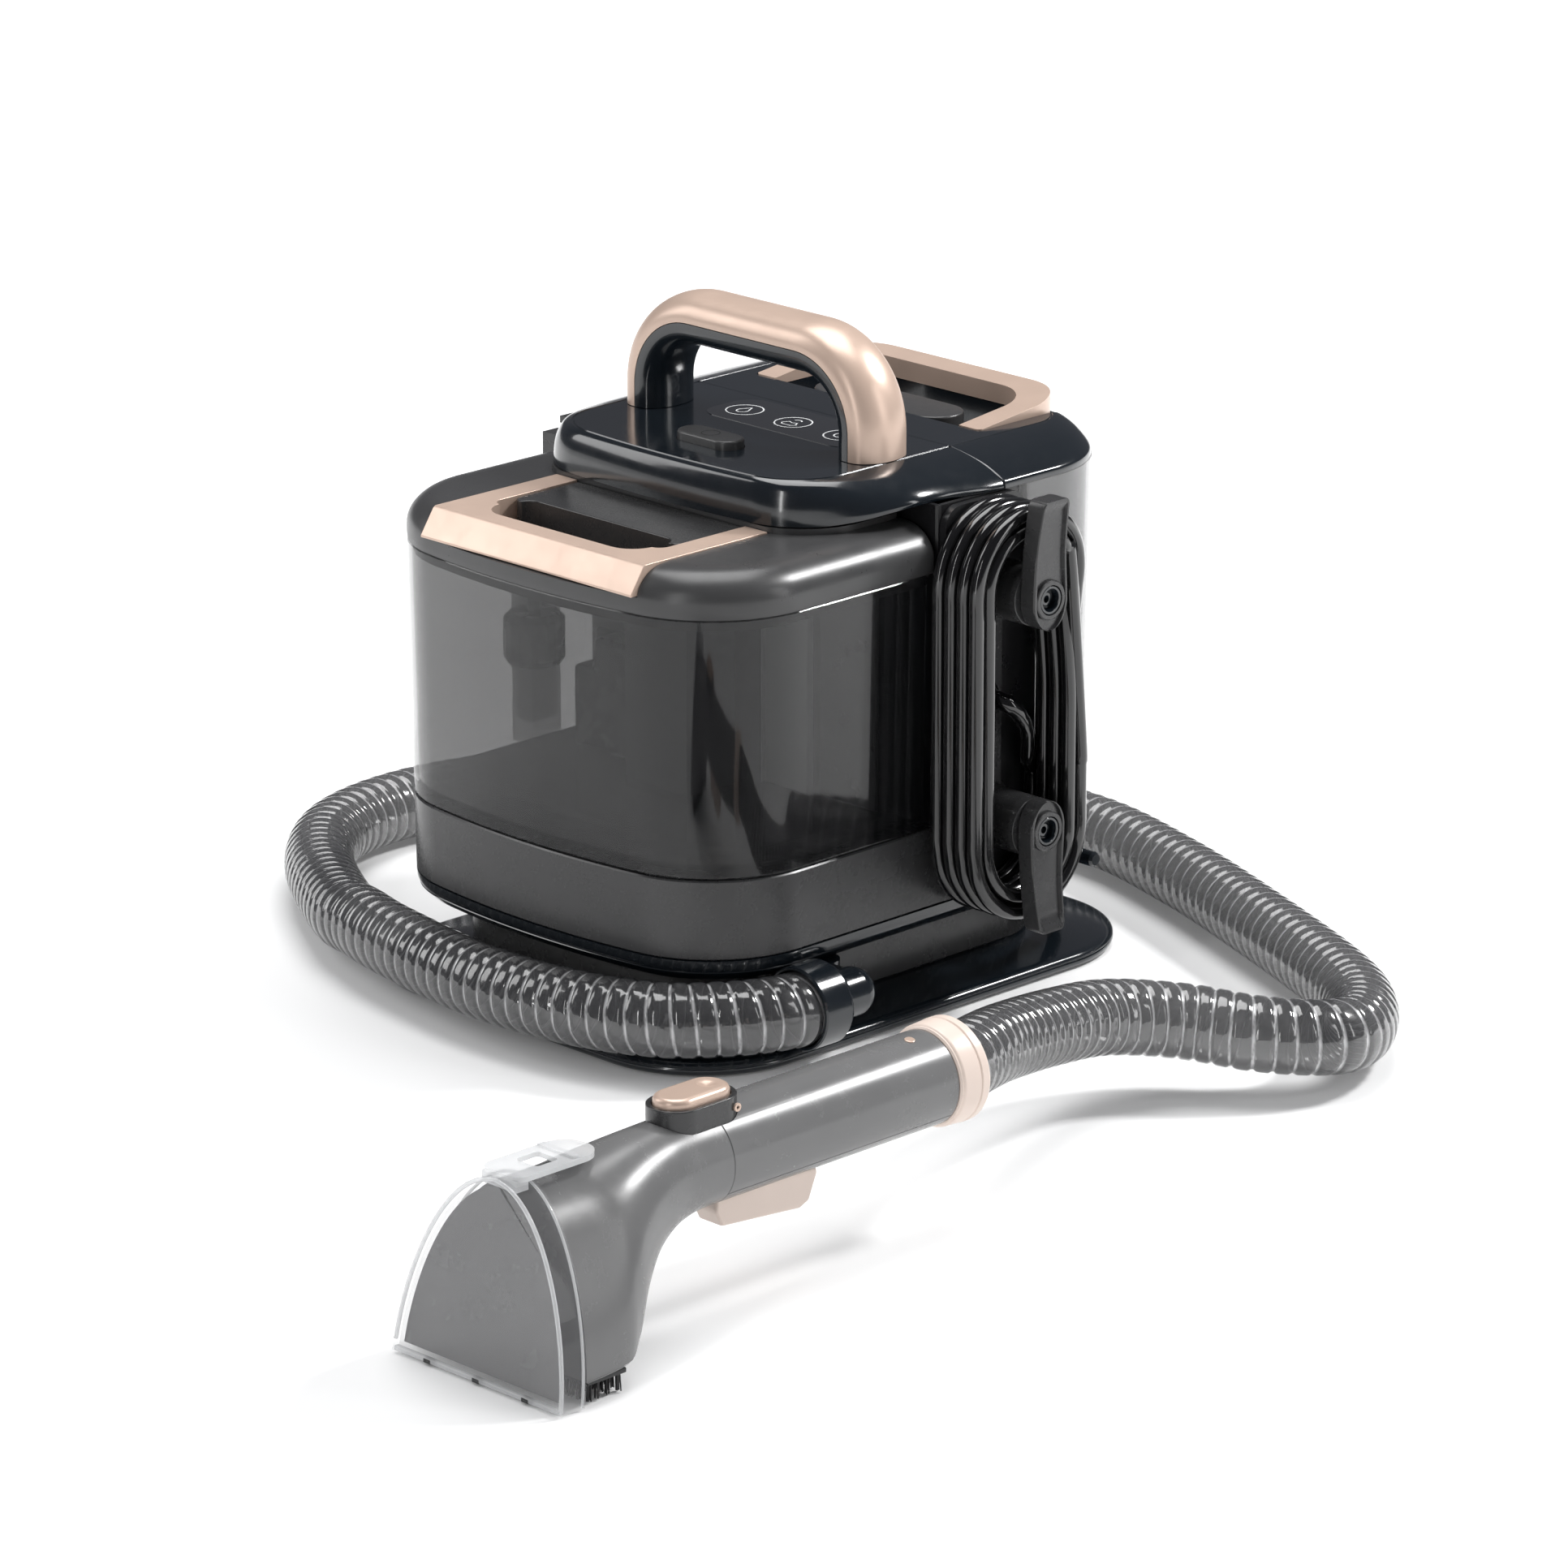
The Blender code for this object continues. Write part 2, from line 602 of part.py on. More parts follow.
# From the lower rim up: half width at the seam and at the front, height at the seam
# and at the front, front edge, corner radius
COVER_LEVELS = [(0.1200, 0.0968, 0.2480, 0.2415, -0.0630, 0.040),
                (0.1196, 0.0967, 0.2510, 0.2450, -0.0629, 0.040),
                (0.1140, 0.0958, 0.2545, 0.2510, -0.0622, 0.039),
                (0.1050, 0.0938, 0.2580, 0.2560, -0.0610, 0.038),
                (0.0950, 0.0905, 0.2605, 0.2600, -0.0594, 0.036),
                (0.0850, 0.0850, Z_TOP, Z_TOP, -0.0565, 0.032)]
COVER_SIDE = (-0.022, 0.0045)      # where the sides widen and rise, front to back
COVER_SIDE_STEPS = 5


def smooth(t):
    t = min(1.0, max(0.0, t))
    return t * t * (3 - 2 * t)


def cover_ring(wide, narrow, z_seam, z_front, front, r):
    """Section of the top cover, narrower and hanging lower at the front than at the seam."""
    nose = bowed(narrow, front, 0.0, r, 0.001, 0.0, 0.60)[:2 * CORNER_STEPS + 7]
    start, end = COVER_SIDE
    back = Y_SEAM - GAP
    ys = [start + (end - start) * k / COVER_SIDE_STEPS for k in range(1, COVER_SIDE_STEPS + 1)]
    ys += [end + (back - end) * k / 3 for k in range(1, 4)]
    side = []
    for y in ys:
        first = smooth((y - start) / (end - start))
        second = smooth((y - end) / (back - end))
        x = narrow + (wide - narrow) * (0.65 * first + 0.35 * second)
        side.append(Vector((x, y, z_front + (z_seam - z_front) * first)))
    ring = [Vector((x, y, z_front)) for x, y in nose]
    return ring + side + [Vector((-p.x, p.y, p.z)) for p in reversed(side)]


def build_top_cover():
    """Navy cap over the column and the back of the dirty tank lid."""
    rings = [cover_ring(0.1180, 0.0945, 0.2478, 0.2478, -0.0605, 0.038)]
    rings += [cover_ring(*level) for level in COVER_LEVELS]
    cover = loft("top_cover", rings, "navy")
    hollow = rounded(-0.108, 0.108, Y_COLUMN_FRONT + 0.002, Y_SEAM - 0.003, (0.01, 0.01, 0.003, 0.003), 4)
    shallow = rounded(-0.078, 0.078, Y_COLUMN_FRONT + 0.002, Y_SEAM - 0.003, (0.01, 0.01, 0.003, 0.003), 4)
    button_well = stadium(0.0392, 0.0172, 0, -0.026)
    cut(cover, prism("hollow", hollow, 0.2, 0.2520, "navy"),
        prism("shallow", shallow, 0.2, 0.2595, "navy"),
        prism("button_well", button_well, 0.2535, 0.3, "navy"),
        prism("panel_seat", rounded(-0.046, 0.056, 0.0085, 0.0455, (0.012,) * 4, 5), 0.26125, 0.3, "navy"))

    panel = rounded(-0.046 + GAP, 0.056 - GAP, 0.0085 + GAP, 0.0455 - GAP, (0.012,) * 4, 5)
    prism("control_panel", panel, 0.26125 + GAP, Z_TOP + 0.0001, "black_gloss")
    box("control_board", -0.050, 0.050, 0.012, 0.042, 0.2530, 0.2546, "board")

    button = prism("power_button", stadium(0.0384, 0.0164, 0, -0.026), 0.2590, 0.2664, "tool_grey")
    spring = helix("button_spring", (0, -0.026), 0.2538, 0.2587, 0.0042, 0.0005, 3)
    return button, spring


def helix(name, centre, z0, z1, radius, wire, turns):
    steps = turns * 12
    route = []
    for i in range(steps + 1):
        t = 2 * math.pi * i / 12
        z = z0 + wire + (z1 - z0 - 2 * wire) * i / steps
        route.append((centre[0] + radius * math.cos(t), centre[1] + radius * math.sin(t), z))
    return tube_along(name, route, wire * 2, "steel", 1)


def handle_frames():
    """Centre line of the carry handle with its outward direction, foot to foot."""
    foot = Z_TOP + GAP
    frames = [((-HANDLE_X, foot), (-1, 0)), ((-HANDLE_X, HANDLE_Z - HANDLE_BEND), (-1, 0))]
    for i in range(1, 8):
        t = math.radians(180 - 90 * i / 8)
        frames.append(((-HANDLE_X + HANDLE_BEND * (1 + math.cos(t)),
                        HANDLE_Z - HANDLE_BEND * (1 - math.sin(t))), (math.cos(t), math.sin(t))))
    frames.append(((-HANDLE_X + HANDLE_BEND, HANDLE_Z), (0, 1)))
    mirrored = [((-x, z), (-nx, nz)) for (x, z), (nx, nz) in reversed(frames)]
    return frames + mirrored


def build_handle():
    outer = [(HANDLE_HALF_DEPTH * math.cos(t), HANDLE_OUTER * math.sin(t))
             for t in (math.radians(a) for a in range(0, 181, 18))]
    outer = [(u, v + 0.0002) for u, v in outer]
    inner = [(HANDLE_HALF_DEPTH, -0.0002), (-HANDLE_HALF_DEPTH, -0.0002),
             (-HANDLE_HALF_DEPTH, -0.0045), (-0.0150, -0.0095), (-0.0095, -HANDLE_INNER),
             (0.0095, -HANDLE_INNER), (0.0150, -0.0095), (HANDLE_HALF_DEPTH, -0.0045)]
    for name, section, base in (("handle_upper", outer, "rose"), ("handle_lower", inner, "navy")):
        rings = []
        for (x, z), (nx, nz) in handle_frames():
            rings.append([Vector((x + v * nx, HANDLE_Y + u, z + v * nz)) for u, v in section])
        loft(name, rings, base)


# ---------------------------------------------------------------- clean tank

def back_slice(z, inset, y_front=Y_COLUMN_BACK + 2 * GAP, back_r=CORNER_R):
    """The clean tank's plan, as the front's mirrored: it has a bowed back."""
    outline = bowed(half_width(z), -half_depth(z), -y_front, back_r, 0.004, inset)
    return at([(x, -y) for x, y in outline], z)


def build_clean_tank():
    shell = loft("clean_tank_shell", [back_slice(Z_CLEAN, 0), back_slice(Z_COVER - GAP, 0)], "smoke")
    y_in = Y_COLUMN_BACK + WALL + 2 * GAP
    cavity = loft("cavity", [[p for p in back_slice(Z_CLEAN, WALL, y_in)],
                             [p for p in back_slice(Z_COVER, WALL, y_in)]], "smoke")
    for vertex in cavity.data.vertices:
        vertex.co.z += 0.003
    cut(shell, cavity)
    cut(shell, turned("valve_way", [(0, 0.0065), (0.05, 0.0065)], (0.055, 0.105, 0.08),
                      (0, 0, 1), "smoke"))
    valve = pipe("outlet_valve", [(0, 0.0062), (0.0060, 0.0062), (0.0062, 0.0090), (0.0100, 0.0090)],
                 0.0036, (0.055, 0.105, 0.0962), (0, 0, 1), "inner_grey", 20)
    turned("valve_poppet", [(0, 0.0030), (0.0160, 0.0030), (0.0162, 0.0058), (0.0190, 0.0058)],
           (0.055, 0.105, 0.0906), (0, 0, 1), "rubber", 16)
    return valve


CAP_Y = 0.0940


def build_clean_lid():
    def ring(z, side, back):
        outline = bowed(HALF_W - side, -(HALF_D - back), -Y_SEAM, max(0.02, CORNER_R - side), 0.0015)
        return at([(x, -y) for x, y in outline], z)

    rings = [ring(Z_COVER, 0.0, 0.0), ring(0.2510, 0.0004, 0.0004), ring(0.2545, 0.0060, 0.0020),
             ring(0.2580, 0.0150, 0.0045), ring(0.2605, 0.0250, 0.0075), ring(Z_TOP, 0.0350, 0.0110)]
    lid = loft("clean_tank_lid", rings, "navy")
    seat = rounded(-0.0760, 0.0760, 0.0780, 0.2, (0.0025, 0.0025, 0.004, 0.004), 3)
    recess = rounded(-0.0620, 0.0620, 0.0795, 0.1325, (0.003, 0.003, 0.010, 0.010), 4)
    filler = stadium(0.080, 0.020, 0, CAP_Y)
    cut(lid, prism("seat", seat, 0.2585, 0.3, "navy"), prism("recess", recess, 0.2512, 0.3, "navy"),
        prism("filler", filler, 0.2, 0.3, "navy"))

    # Rose grip: a U open to the front, rising to the back, that frames the recess
    outline = rounded(-0.0757, 0.0757, 0.0783, 0.1455, (0.003, 0.003, 0.030, 0.030), 6)
    low = at(outline, 0.2588)
    high = [Vector((x, y, 0.2625 + 0.0055 * (y - 0.0783) / 0.067)) for x, y in outline]
    ring_obj = loft("tank_grip_ring", [low, high], "rose")
    bay = rounded(-0.0622, 0.0622, 0.0, 0.1323, (0.003, 0.003, 0.010, 0.010), 4)
    cut(ring_obj, prism("bay", bay, 0.2, 0.3, "rose"))

    cap = prism("filler_cap", stadium(0.0900, 0.0280, 0, CAP_Y), 0.2515, 0.2612, "tool_grey")
    plug = prism("plug", stadium(0.0780, 0.0180, 0, CAP_Y), 0.2485, 0.2530, "tool_grey")
    join(cap, plug)


# ---------------------------------------------------------------- inside the base

def build_internals():
    centre = (0.0, 0.030)
    pipe("vacuum_motor", [(0, 0.030), (0.004, 0.040), (0.046, 0.040), (0.050, 0.034)], 0.0045,
         (*centre, 0.0180), (0, 0, 1), "inner_grey", 28)
    housing = turned("fan_housing", [(0, 0.048), (0.0170, 0.048)], (*centre, 0.0690), (0, 0, 1),
                     "inner_grey", 28)
    cut(housing, turned("chamber", [(0, 0.045), (0.0120, 0.045)], (*centre, 0.0715), (0, 0, 1),
                        "inner_grey", 28),
        turned("eye", [(0, 0.0150), (0.05, 0.0150)], (*centre, 0.0600), (0, 0, 1), "inner_grey"),
        turned("inlet", [(0, 0.0180), (0.05, 0.0180)], (*centre, 0.0780), (0, 0, 1), "inner_grey"))
    turned("fan_impeller", [(0, 0.0040), (0.0540, 0.0040), (0.0545, 0.0120), (0.0560, 0.0400),
                            (0.0590, 0.0400), (0.0610, 0.0110), (0.0630, 0.0110)],
           (*centre, 0.0190), (0, 0, 1), "steel", 28)
    turned("water_pump", [(0, 0.012), (0.004, 0.016), (0.040, 0.016), (0.044, 0.020), (0.060, 0.020)],
           (-0.030, -0.070, 0.036), (1, 0, 0), "inner_grey", 20)
    box("heater_block", -0.045, 0.045, 0.082, 0.104, 0.0200, 0.0480, "steel")
    duct = box("air_duct", -0.064, -0.026, 0.015, 0.053, 0.0885, 0.2460, "inner_grey")
    cut(duct, box("way", -0.062, -0.028, 0.017, 0.051, 0.0, 1.0, "inner_grey"))


def build_tool_holder():
    """Clip on the left side that parks the hand tool."""
    wall = -half_width(Z_TANK) - 0.0001
    clip = box("tool_holder", -0.1430, wall, 0.010, 0.032, 0.2375, 0.2410, "charcoal")
    post = turned("post", [(0, 0.0060), (0.0385, 0.0070)], (-0.136, 0.021, 0.2000), (0, 0, 1),
                  "charcoal", 16)
    foot = box("foot", wall - 0.0050, wall, 0.010, 0.032, 0.2000, 0.2400, "charcoal")
    arm = box("arm", -0.1360, -0.1220, 0.018, 0.024, 0.2080, 0.2400, "charcoal")
    cheek = box("cheek", -0.1410, -0.1225, -0.0035, 0.0160, 0.2180, 0.2360, "charcoal")
    join(clip, post, foot, arm, cheek)


# ---------------------------------------------------------------- hose

# From the cuff round the front and left of the base, behind the machine, and back
# in a wide loop to the collar of the hand tool
HOSE_ROUTE = [(0.1290, -0.0870, 0.0280), (0.1290, -0.0990, 0.0280), (0.1262, -0.1125, 0.0285),
              (0.1180, -0.1310, 0.0290), (0.0950, -0.1550, 0.0290), (0.0503, -0.1690, 0.0280),
              (-0.0077, -0.1720, 0.0270), (-0.0770, -0.1620, 0.0266), (-0.1110, -0.1520, 0.0254),
              (-0.1400, -0.1400, 0.0225), (-0.2014, -0.1001, 0.0195), (-0.2380, -0.0600, 0.0190),
              (-0.2500, -0.0100, 0.0190), (-0.2400, 0.0450, 0.0190), (-0.2050, 0.1130, 0.0190),
              (-0.1450, 0.1720, 0.0190), (-0.0650, 0.2080, 0.0190), (0.0235, 0.2171, 0.0190),
              (0.1013, 0.1980, 0.0190), (0.1790, 0.1681, 0.0190), (0.2548, 0.1350, 0.0190),
              (0.2920, 0.1120, 0.0195), (0.3170, 0.0820, 0.0215), (0.3240, 0.0540, 0.0260),
              (0.3060, 0.0260, 0.0300), (0.2780, 0.0030, 0.0350), (0.2620, -0.0300, 0.0410),
              (0.2660, -0.0700, 0.0475), (0.2800, -0.1150, 0.0560), (0.2960, -0.1480, 0.0635),
              (0.3080, -0.1770, 0.0670), (0.3080, -0.1890, 0.0670)]


def build_hose():
    route = plugged_route(HOSE_ROUTE, HOSE_D * 0.75)
    tube_along("suction_hose", route, HOSE_D, "smoke", 3)

    # The elbow comes down from the casing, turns outward, then forward into the cuff
    start = Vector(HOSE_ROUTE[0])
    axis = (start - ELBOW).normalized()
    reach = (start - ELBOW).length
    dome = [(-ELBOW_R * math.cos(math.radians(a)), ELBOW_R * math.sin(math.radians(a)))
            for a in (8, 25, 45, 65, 90)]
    elbow = turned("hose_elbow", dome + [(reach - 0.0105, ELBOW_R)], ELBOW, axis, "navy", 20)
    arm = turned("arm", [(0, 0.0108), (ELBOW.x - RISER_X + 0.004, 0.0108)],
                 (RISER_X - 0.004, ELBOW.y, ELBOW.z - 0.0006), (1, 0, 0), "navy", 20)
    riser = turned("riser", [(0, 0.0100), (Z_SKIRT - GAP - ELBOW.z, 0.0100)],
                   (RISER_X + 0.0055, ELBOW.y, ELBOW.z), (0, 0, 1), "navy", 20)
    join(elbow, arm, riser)
    socket = HOSE_D / 2 + 0.0008
    turned("hose_cuff", [(-0.0100, 0.0150), (-0.0085, 0.0180), (-0.0060, CUFF_R - 0.0003),
                         (0.0100, CUFF_R), (0.0100, socket), (-GAP, socket)],
           start, axis, "navy", 24)


# ---------------------------------------------------------------- hand tool

def arch_half_width(fraction):
    """Half width of the fan-shaped nozzle at a fraction of its height."""
    return NOZZLE_HALF_W * math.sqrt(max(0.0, 1 - fraction ** 1.7))


def arch_outline(grow=0.0, height=NOZZLE_H, steps=9):
    """Nozzle outline from its bottom left corner round: (x, height) pairs."""
    floor = -grow
    outline = [((NOZZLE_HALF_W + grow) * k / 2, floor) for k in (-2, -1, 0, 1, 2)]
    right = []
    for k in range(1, steps):
        fraction = math.sin(math.radians(90 * k / steps))
        right.append((arch_half_width(fraction) + grow, fraction * (height + grow)))
    outline += right
    outline.append((0.0, height + grow))
    outline += [(-x, s) for x, s in reversed(right)]
    return outline


def leaned(outline, depth, lift=0.0005):
    """Place an outline on the nozzle's leaning front plane, set back by a depth."""
    ring = []
    for x, s in outline:
        y = NOZZLE_LIP_Y + s * math.sin(NOZZLE_LEAN) + depth
        ring.append(Vector((TOOL_X + x, y, lift + s * math.cos(NOZZLE_LEAN))))
    return ring


def build_nozzle_cover():
    cover = loft("nozzle_cover", [leaned(arch_outline(-0.0010), 0.0), leaned(arch_outline(), 0.0010),
                                  leaned(arch_outline(), NOZZLE_DEPTH)], "clear")
    inner = arch_outline(-0.0020)
    inner = [(x, s if s > 0.003 else -0.01) for x, s in inner]
    cut(cover, loft("hollow", [leaned(inner, 0.0020), leaned(inner, 0.03)], "clear"))
    web = box("web", TOOL_X - 0.010, TOOL_X + 0.010, -0.4490, -0.4400, 0.0815, 0.0895, "clear")
    tab = prism("tab", rounded(TOOL_X - 0.014, TOOL_X + 0.014, -0.4480, -0.3990,
                               (0.005, 0.005, 0.012, 0.012), 4), 0.0882, 0.0905, "clear")
    join(tab, web)
    join(cover, tab)


def nozzle_ring(y, centre_z, half_x, half_z, blend):
    """Section of the nozzle body, from round at the barrel to the arch at its face."""
    arch = arch_outline(0.0, NOZZLE_H * 0.95)
    count = len(arch)
    angles = [-130 + 20 * k for k in range(5)]
    rest = count - 5
    angles += [-50 + 280 * (k + 1) / (rest + 1) for k in range(rest)]
    ring = []
    for (ax, az), angle in zip(arch, angles):
        t = math.radians(angle)
        ex, ez = half_x * math.cos(t), centre_z + half_z * math.sin(t)
        az = max(0.0110, az)
        x = ex + (ax * 0.995 - ex) * blend
        z = ez + (az - ez) * blend
        ring.append(Vector((TOOL_X + x, y + math.tan(NOZZLE_LEAN) * blend * (z - 0.045), z)))
    return ring


NOZZLE_SECTIONS = [
    # y, centre z, half width, half height, share of the arch shape
    (BARREL_Y0 - GAP, BARREL_Z, BARREL_R, BARREL_R, 0.0),
    (-0.3480, 0.0665, 0.0217, 0.0219, 0.0),
    (-0.3630, 0.0638, 0.0228, 0.0242, 0.0),
    (-0.3800, 0.0615, 0.0255, 0.0258, 0.12),
    (-0.3950, 0.0580, 0.0300, 0.0283, 0.35),
    (-0.4070, 0.0520, 0.0360, 0.0335, 0.65),
    (-0.4180, 0.0500, 0.0400, 0.0350, 0.92),
    (-0.4427, 0.0500, 0.0400, 0.0350, 1.0),
]


def build_nozzle_body():
    body = loft("nozzle_body", [nozzle_ring(*section) for section in NOZZLE_SECTIONS], "tool_grey")
    cut(body, turned("bore", [(0, 0.0120), (0.16, 0.0120)], (TOOL_X, -0.4700, 0.0680),
                     (0, 1, 0), "tool_grey", 20))
    return body


def comb(name, x_edges, y_edges, z_tip, z_root, z_top, base):
    """A bar with a tooth hanging under every odd cell of its grid."""
    nx, ny = len(x_edges) - 1, len(y_edges) - 1
    bm = bmesh.new()
    corners = {}

    def corner(i, j, z):
        key = (i, j, z)
        if key not in corners:
            corners[key] = bm.verts.new((x_edges[i], y_edges[j], z))
        return corners[key]

    def under(i, j):
        if 0 <= i < nx and 0 <= j < ny:
            return z_tip if i % 2 and j % 2 else z_root
        return z_top

    for i in range(nx):
        for j in range(ny):
            bm.faces.new([corner(a, b, z_top) for a, b in
                          ((i, j), (i + 1, j), (i + 1, j + 1), (i, j + 1))])
            z = under(i, j)
            bm.faces.new([corner(a, b, z) for a, b in
                          ((i, j), (i, j + 1), (i + 1, j + 1), (i + 1, j))])
            sides = (((i, j), (i + 1, j), (i, j - 1)), ((i + 1, j), (i + 1, j + 1), (i + 1, j)),
                     ((i + 1, j + 1), (i, j + 1), (i, j + 1)), ((i, j + 1), (i, j), (i - 1, j)))
            for a, b, beside in sides:
                other = under(*beside)
                if z < other:
                    bm.faces.new([corner(*a, z), corner(*b, z), corner(*b, other), corner(*a, other)])
    bmesh.ops.recalc_face_normals(bm, faces=bm.faces)
    mesh = bpy.data.meshes.new(name)
    bm.to_mesh(mesh)
    bm.free()
    obj = bpy.data.objects.new(name, mesh)
    bpy.context.collection.objects.link(obj)
    obj.data.materials.append(own_material(name, base))
    return obj


def slot_along_y(x, y0, y1, width, steps=6):
    r = width / 2
    return arc(x, y0 + r, r, 180, 360, steps) + arc(x, y1 - r, r, 0, 180, steps)


def build_hand_tool():
    build_nozzle_cover()
    nozzle = build_nozzle_body()
    length = BARREL_Y1 - BARREL_Y0
    start = (TOOL_X, BARREL_Y0, BARREL_Z)
    shells = []
    for name in ("barrel_upper_shell", "barrel_lower_shell"):
        shells.append(pipe(name, [(0, BARREL_R), (length, BARREL_R)], 0.0190, start, (0, 1, 0),
                           "tool_grey", 28))
    upper, lower = shells
    cut(upper, box("below", 0.2, 0.4, -0.5, 0, 0, 0.0540, "tool_grey"))
    cut(lower, box("above", 0.2, 0.4, -0.5, 0, 0.0540 - GAP, 0.2, "tool_grey"),
        box("trigger_slot", TOOL_X - 0.0080, TOOL_X + 0.0080, -0.3312, -0.2688, 0, 0.1, "tool_grey"))

    # Release button in its housing, across the joint of barrel and nozzle
    for target in (upper, nozzle):
        seat = slot_along_y(TOOL_X, -0.3603, -0.3157, 0.0266)
        cut(target, prism("seat", seat, 0.0830, 0.2, "tool_grey"))
    housing = prism("release_housing", slot_along_y(TOOL_X, -0.3600, -0.3160, 0.0260),
                    0.0833, 0.0945, "tool_grey")
    cut(housing, prism("well", slot_along_y(TOOL_X, -0.3575, -0.3185, 0.0210), 0.0880, 0.2, "tool_grey"))
    prism("release_button", slot_along_y(TOOL_X, -0.3570, -0.3190, 0.0200), 0.0915, 0.0985, "rose")

    profile = [(-0.3290, 0.0515), (-0.3305, 0.0420), (-0.3270, 0.0345), (-0.2800, 0.0302),
               (-0.2745, 0.0325), (-0.2695, 0.0440), (-0.2700, 0.0470)]
    loft("trigger", [[Vector((TOOL_X + s * 0.0074, y, z)) for y, z in profile] for s in (-1, 1)],
         "pale_rose")
    box("trigger_valve", TOOL_X - 0.006, TOOL_X + 0.006, -0.2620, -0.2450, 0.0502, 0.0570, "inner_grey")
    pipe("tool_collar", [(0, 0.0224), (0.0010, 0.0232), (0.0150, 0.0240), (0.0170, 0.0230)],
         HOSE_D / 2 + 0.0008, (TOOL_X, BARREL_Y1 + GAP, BARREL_Z), (0, 1, 0), "pale_rose", 28)

    xs = [TOOL_X - 0.0495 + 0.0990 * k / 23 for k in range(24)]
    ys = [-0.4455 + 0.0220 * k / 9 for k in range(10)]
    comb("nozzle_brush", xs, ys, 0.0, 0.0085, 0.0107, "bristle")


def main():
    clear_scene()
    build_base()
    build_pedestal()
    build_lower_body()
    build_column()
    build_cord_wrap()
    build_coil()
    build_power_cord()
    build_dirty_tank()
    build_dirty_lid()
    build_top_cover()
    build_handle()
    build_clean_tank()
    build_clean_lid()
    build_internals()
    build_tool_holder()
    build_hose()
    build_hand_tool()


main()
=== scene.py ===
"""Looks of the portable carpet cleaner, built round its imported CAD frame. Metres, +Z up."""
import math
import random

import bmesh
import bpy
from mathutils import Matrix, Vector

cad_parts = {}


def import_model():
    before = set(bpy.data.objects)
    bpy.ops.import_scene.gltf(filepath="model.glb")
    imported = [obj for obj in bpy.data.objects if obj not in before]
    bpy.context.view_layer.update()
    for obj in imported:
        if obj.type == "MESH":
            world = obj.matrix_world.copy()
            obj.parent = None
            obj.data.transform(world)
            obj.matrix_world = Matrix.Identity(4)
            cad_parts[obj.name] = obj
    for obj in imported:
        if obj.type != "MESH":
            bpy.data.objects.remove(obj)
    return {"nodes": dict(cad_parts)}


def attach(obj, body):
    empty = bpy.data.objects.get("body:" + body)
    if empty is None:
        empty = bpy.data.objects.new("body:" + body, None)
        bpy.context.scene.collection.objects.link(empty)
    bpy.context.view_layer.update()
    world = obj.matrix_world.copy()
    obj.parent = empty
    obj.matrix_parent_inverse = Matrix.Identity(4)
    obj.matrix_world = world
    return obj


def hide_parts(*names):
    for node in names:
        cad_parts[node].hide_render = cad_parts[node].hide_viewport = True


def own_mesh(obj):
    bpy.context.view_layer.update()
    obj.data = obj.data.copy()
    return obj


# Body, as in the CAD
HALF_W = 0.12
HALF_D = 0.149
CORNER_R = 0.058
FRONT_BOW_R = 0.45
TAPER = 0.0105
GAP = 0.0003
WALL = 0.0025
Z_BASE_TOP = 0.0115
Z_SKIRT = 0.04
Z_BODY = 0.052
Z_TANK = 0.091
Z_CLEAN = 0.099
Z_LID = 0.2165
Z_LID_TOP = 0.238
Z_COVER = 0.248
Z_TOP = 0.262
Y_COLUMN_FRONT = 0.0063
Y_COLUMN_BACK = 0.0617
Y_SEAM = 0.049
Y_FRONT_BACK = 0.0045      # back face of the front tank and its lid
BACK_R = 0.004             # corner radius at that face
# Half width, half depth and corner radius
BASE = (0.127, 0.158, 0.06)
PEDESTAL = (0.095, 0.115, 0.035)

# Handle
HANDLE_Y = 0.01
HANDLE_X = 0.072
HANDLE_Z = 0.3095
HANDLE_BEND = 0.036
HANDLE_HALF_DEPTH = 0.017
HANDLE_OUTER = 0.013
HANDLE_INNER = 0.0128

# Cord wrap
WRAP_Y = 0.034
WRAP_X = 0.119
COIL_X0 = 0.1232
POST_R = 0.0142
POST_END = 0.1552
HOOK_X0 = 0.1558
HOOK_T = 0.0092
HOOK_HALF_W = 0.0117
UPPER_PIVOT_Z = 0.206
LOWER_PIVOT_Z = 0.093
LEVER = 0.049
CORD_D = 0.0075
CORD_PITCH = 0.008
COIL_LAYERS = (0.0278, 0.0355)     # half widths of the two layers' centre lines
COIL_Z0 = 0.086
COIL_Z1 = 0.21
COIL_TURNS = 4
CORD_EXIT_Z = 0.15

# Hose and hand tool
HOSE_D = 0.036
RIB_PITCH = 0.0088
ELBOW = Vector((0.129, -0.062, 0.028))
ELBOW_R = 0.012
RISER_X = 0.103
CUFF_R = 0.0203
TOOL_X = 0.308
BARREL_Z = 0.067
BARREL_R = 0.0215
BARREL_Y0 = -0.333
BARREL_Y1 = -0.1965
NOZZLE_LIP_Y = -0.4635
NOZZLE_LEAN = math.radians(8)
NOZZLE_HALF_W = 0.052
NOZZLE_H = 0.0885
NOZZLE_DEPTH = 0.014

SLOT_Y = -0.113
TRIM_Y1 = -0.059
TRIM_X = 0.0715
CAP_Y = 0.094
BUTTON_Y = -0.026
FLOAT_STEM = (-0.069, -0.077)      # where the float's stem goes up through the lid
STEM_HOLE_R = 0.0042
SPRING_R = 0.0042

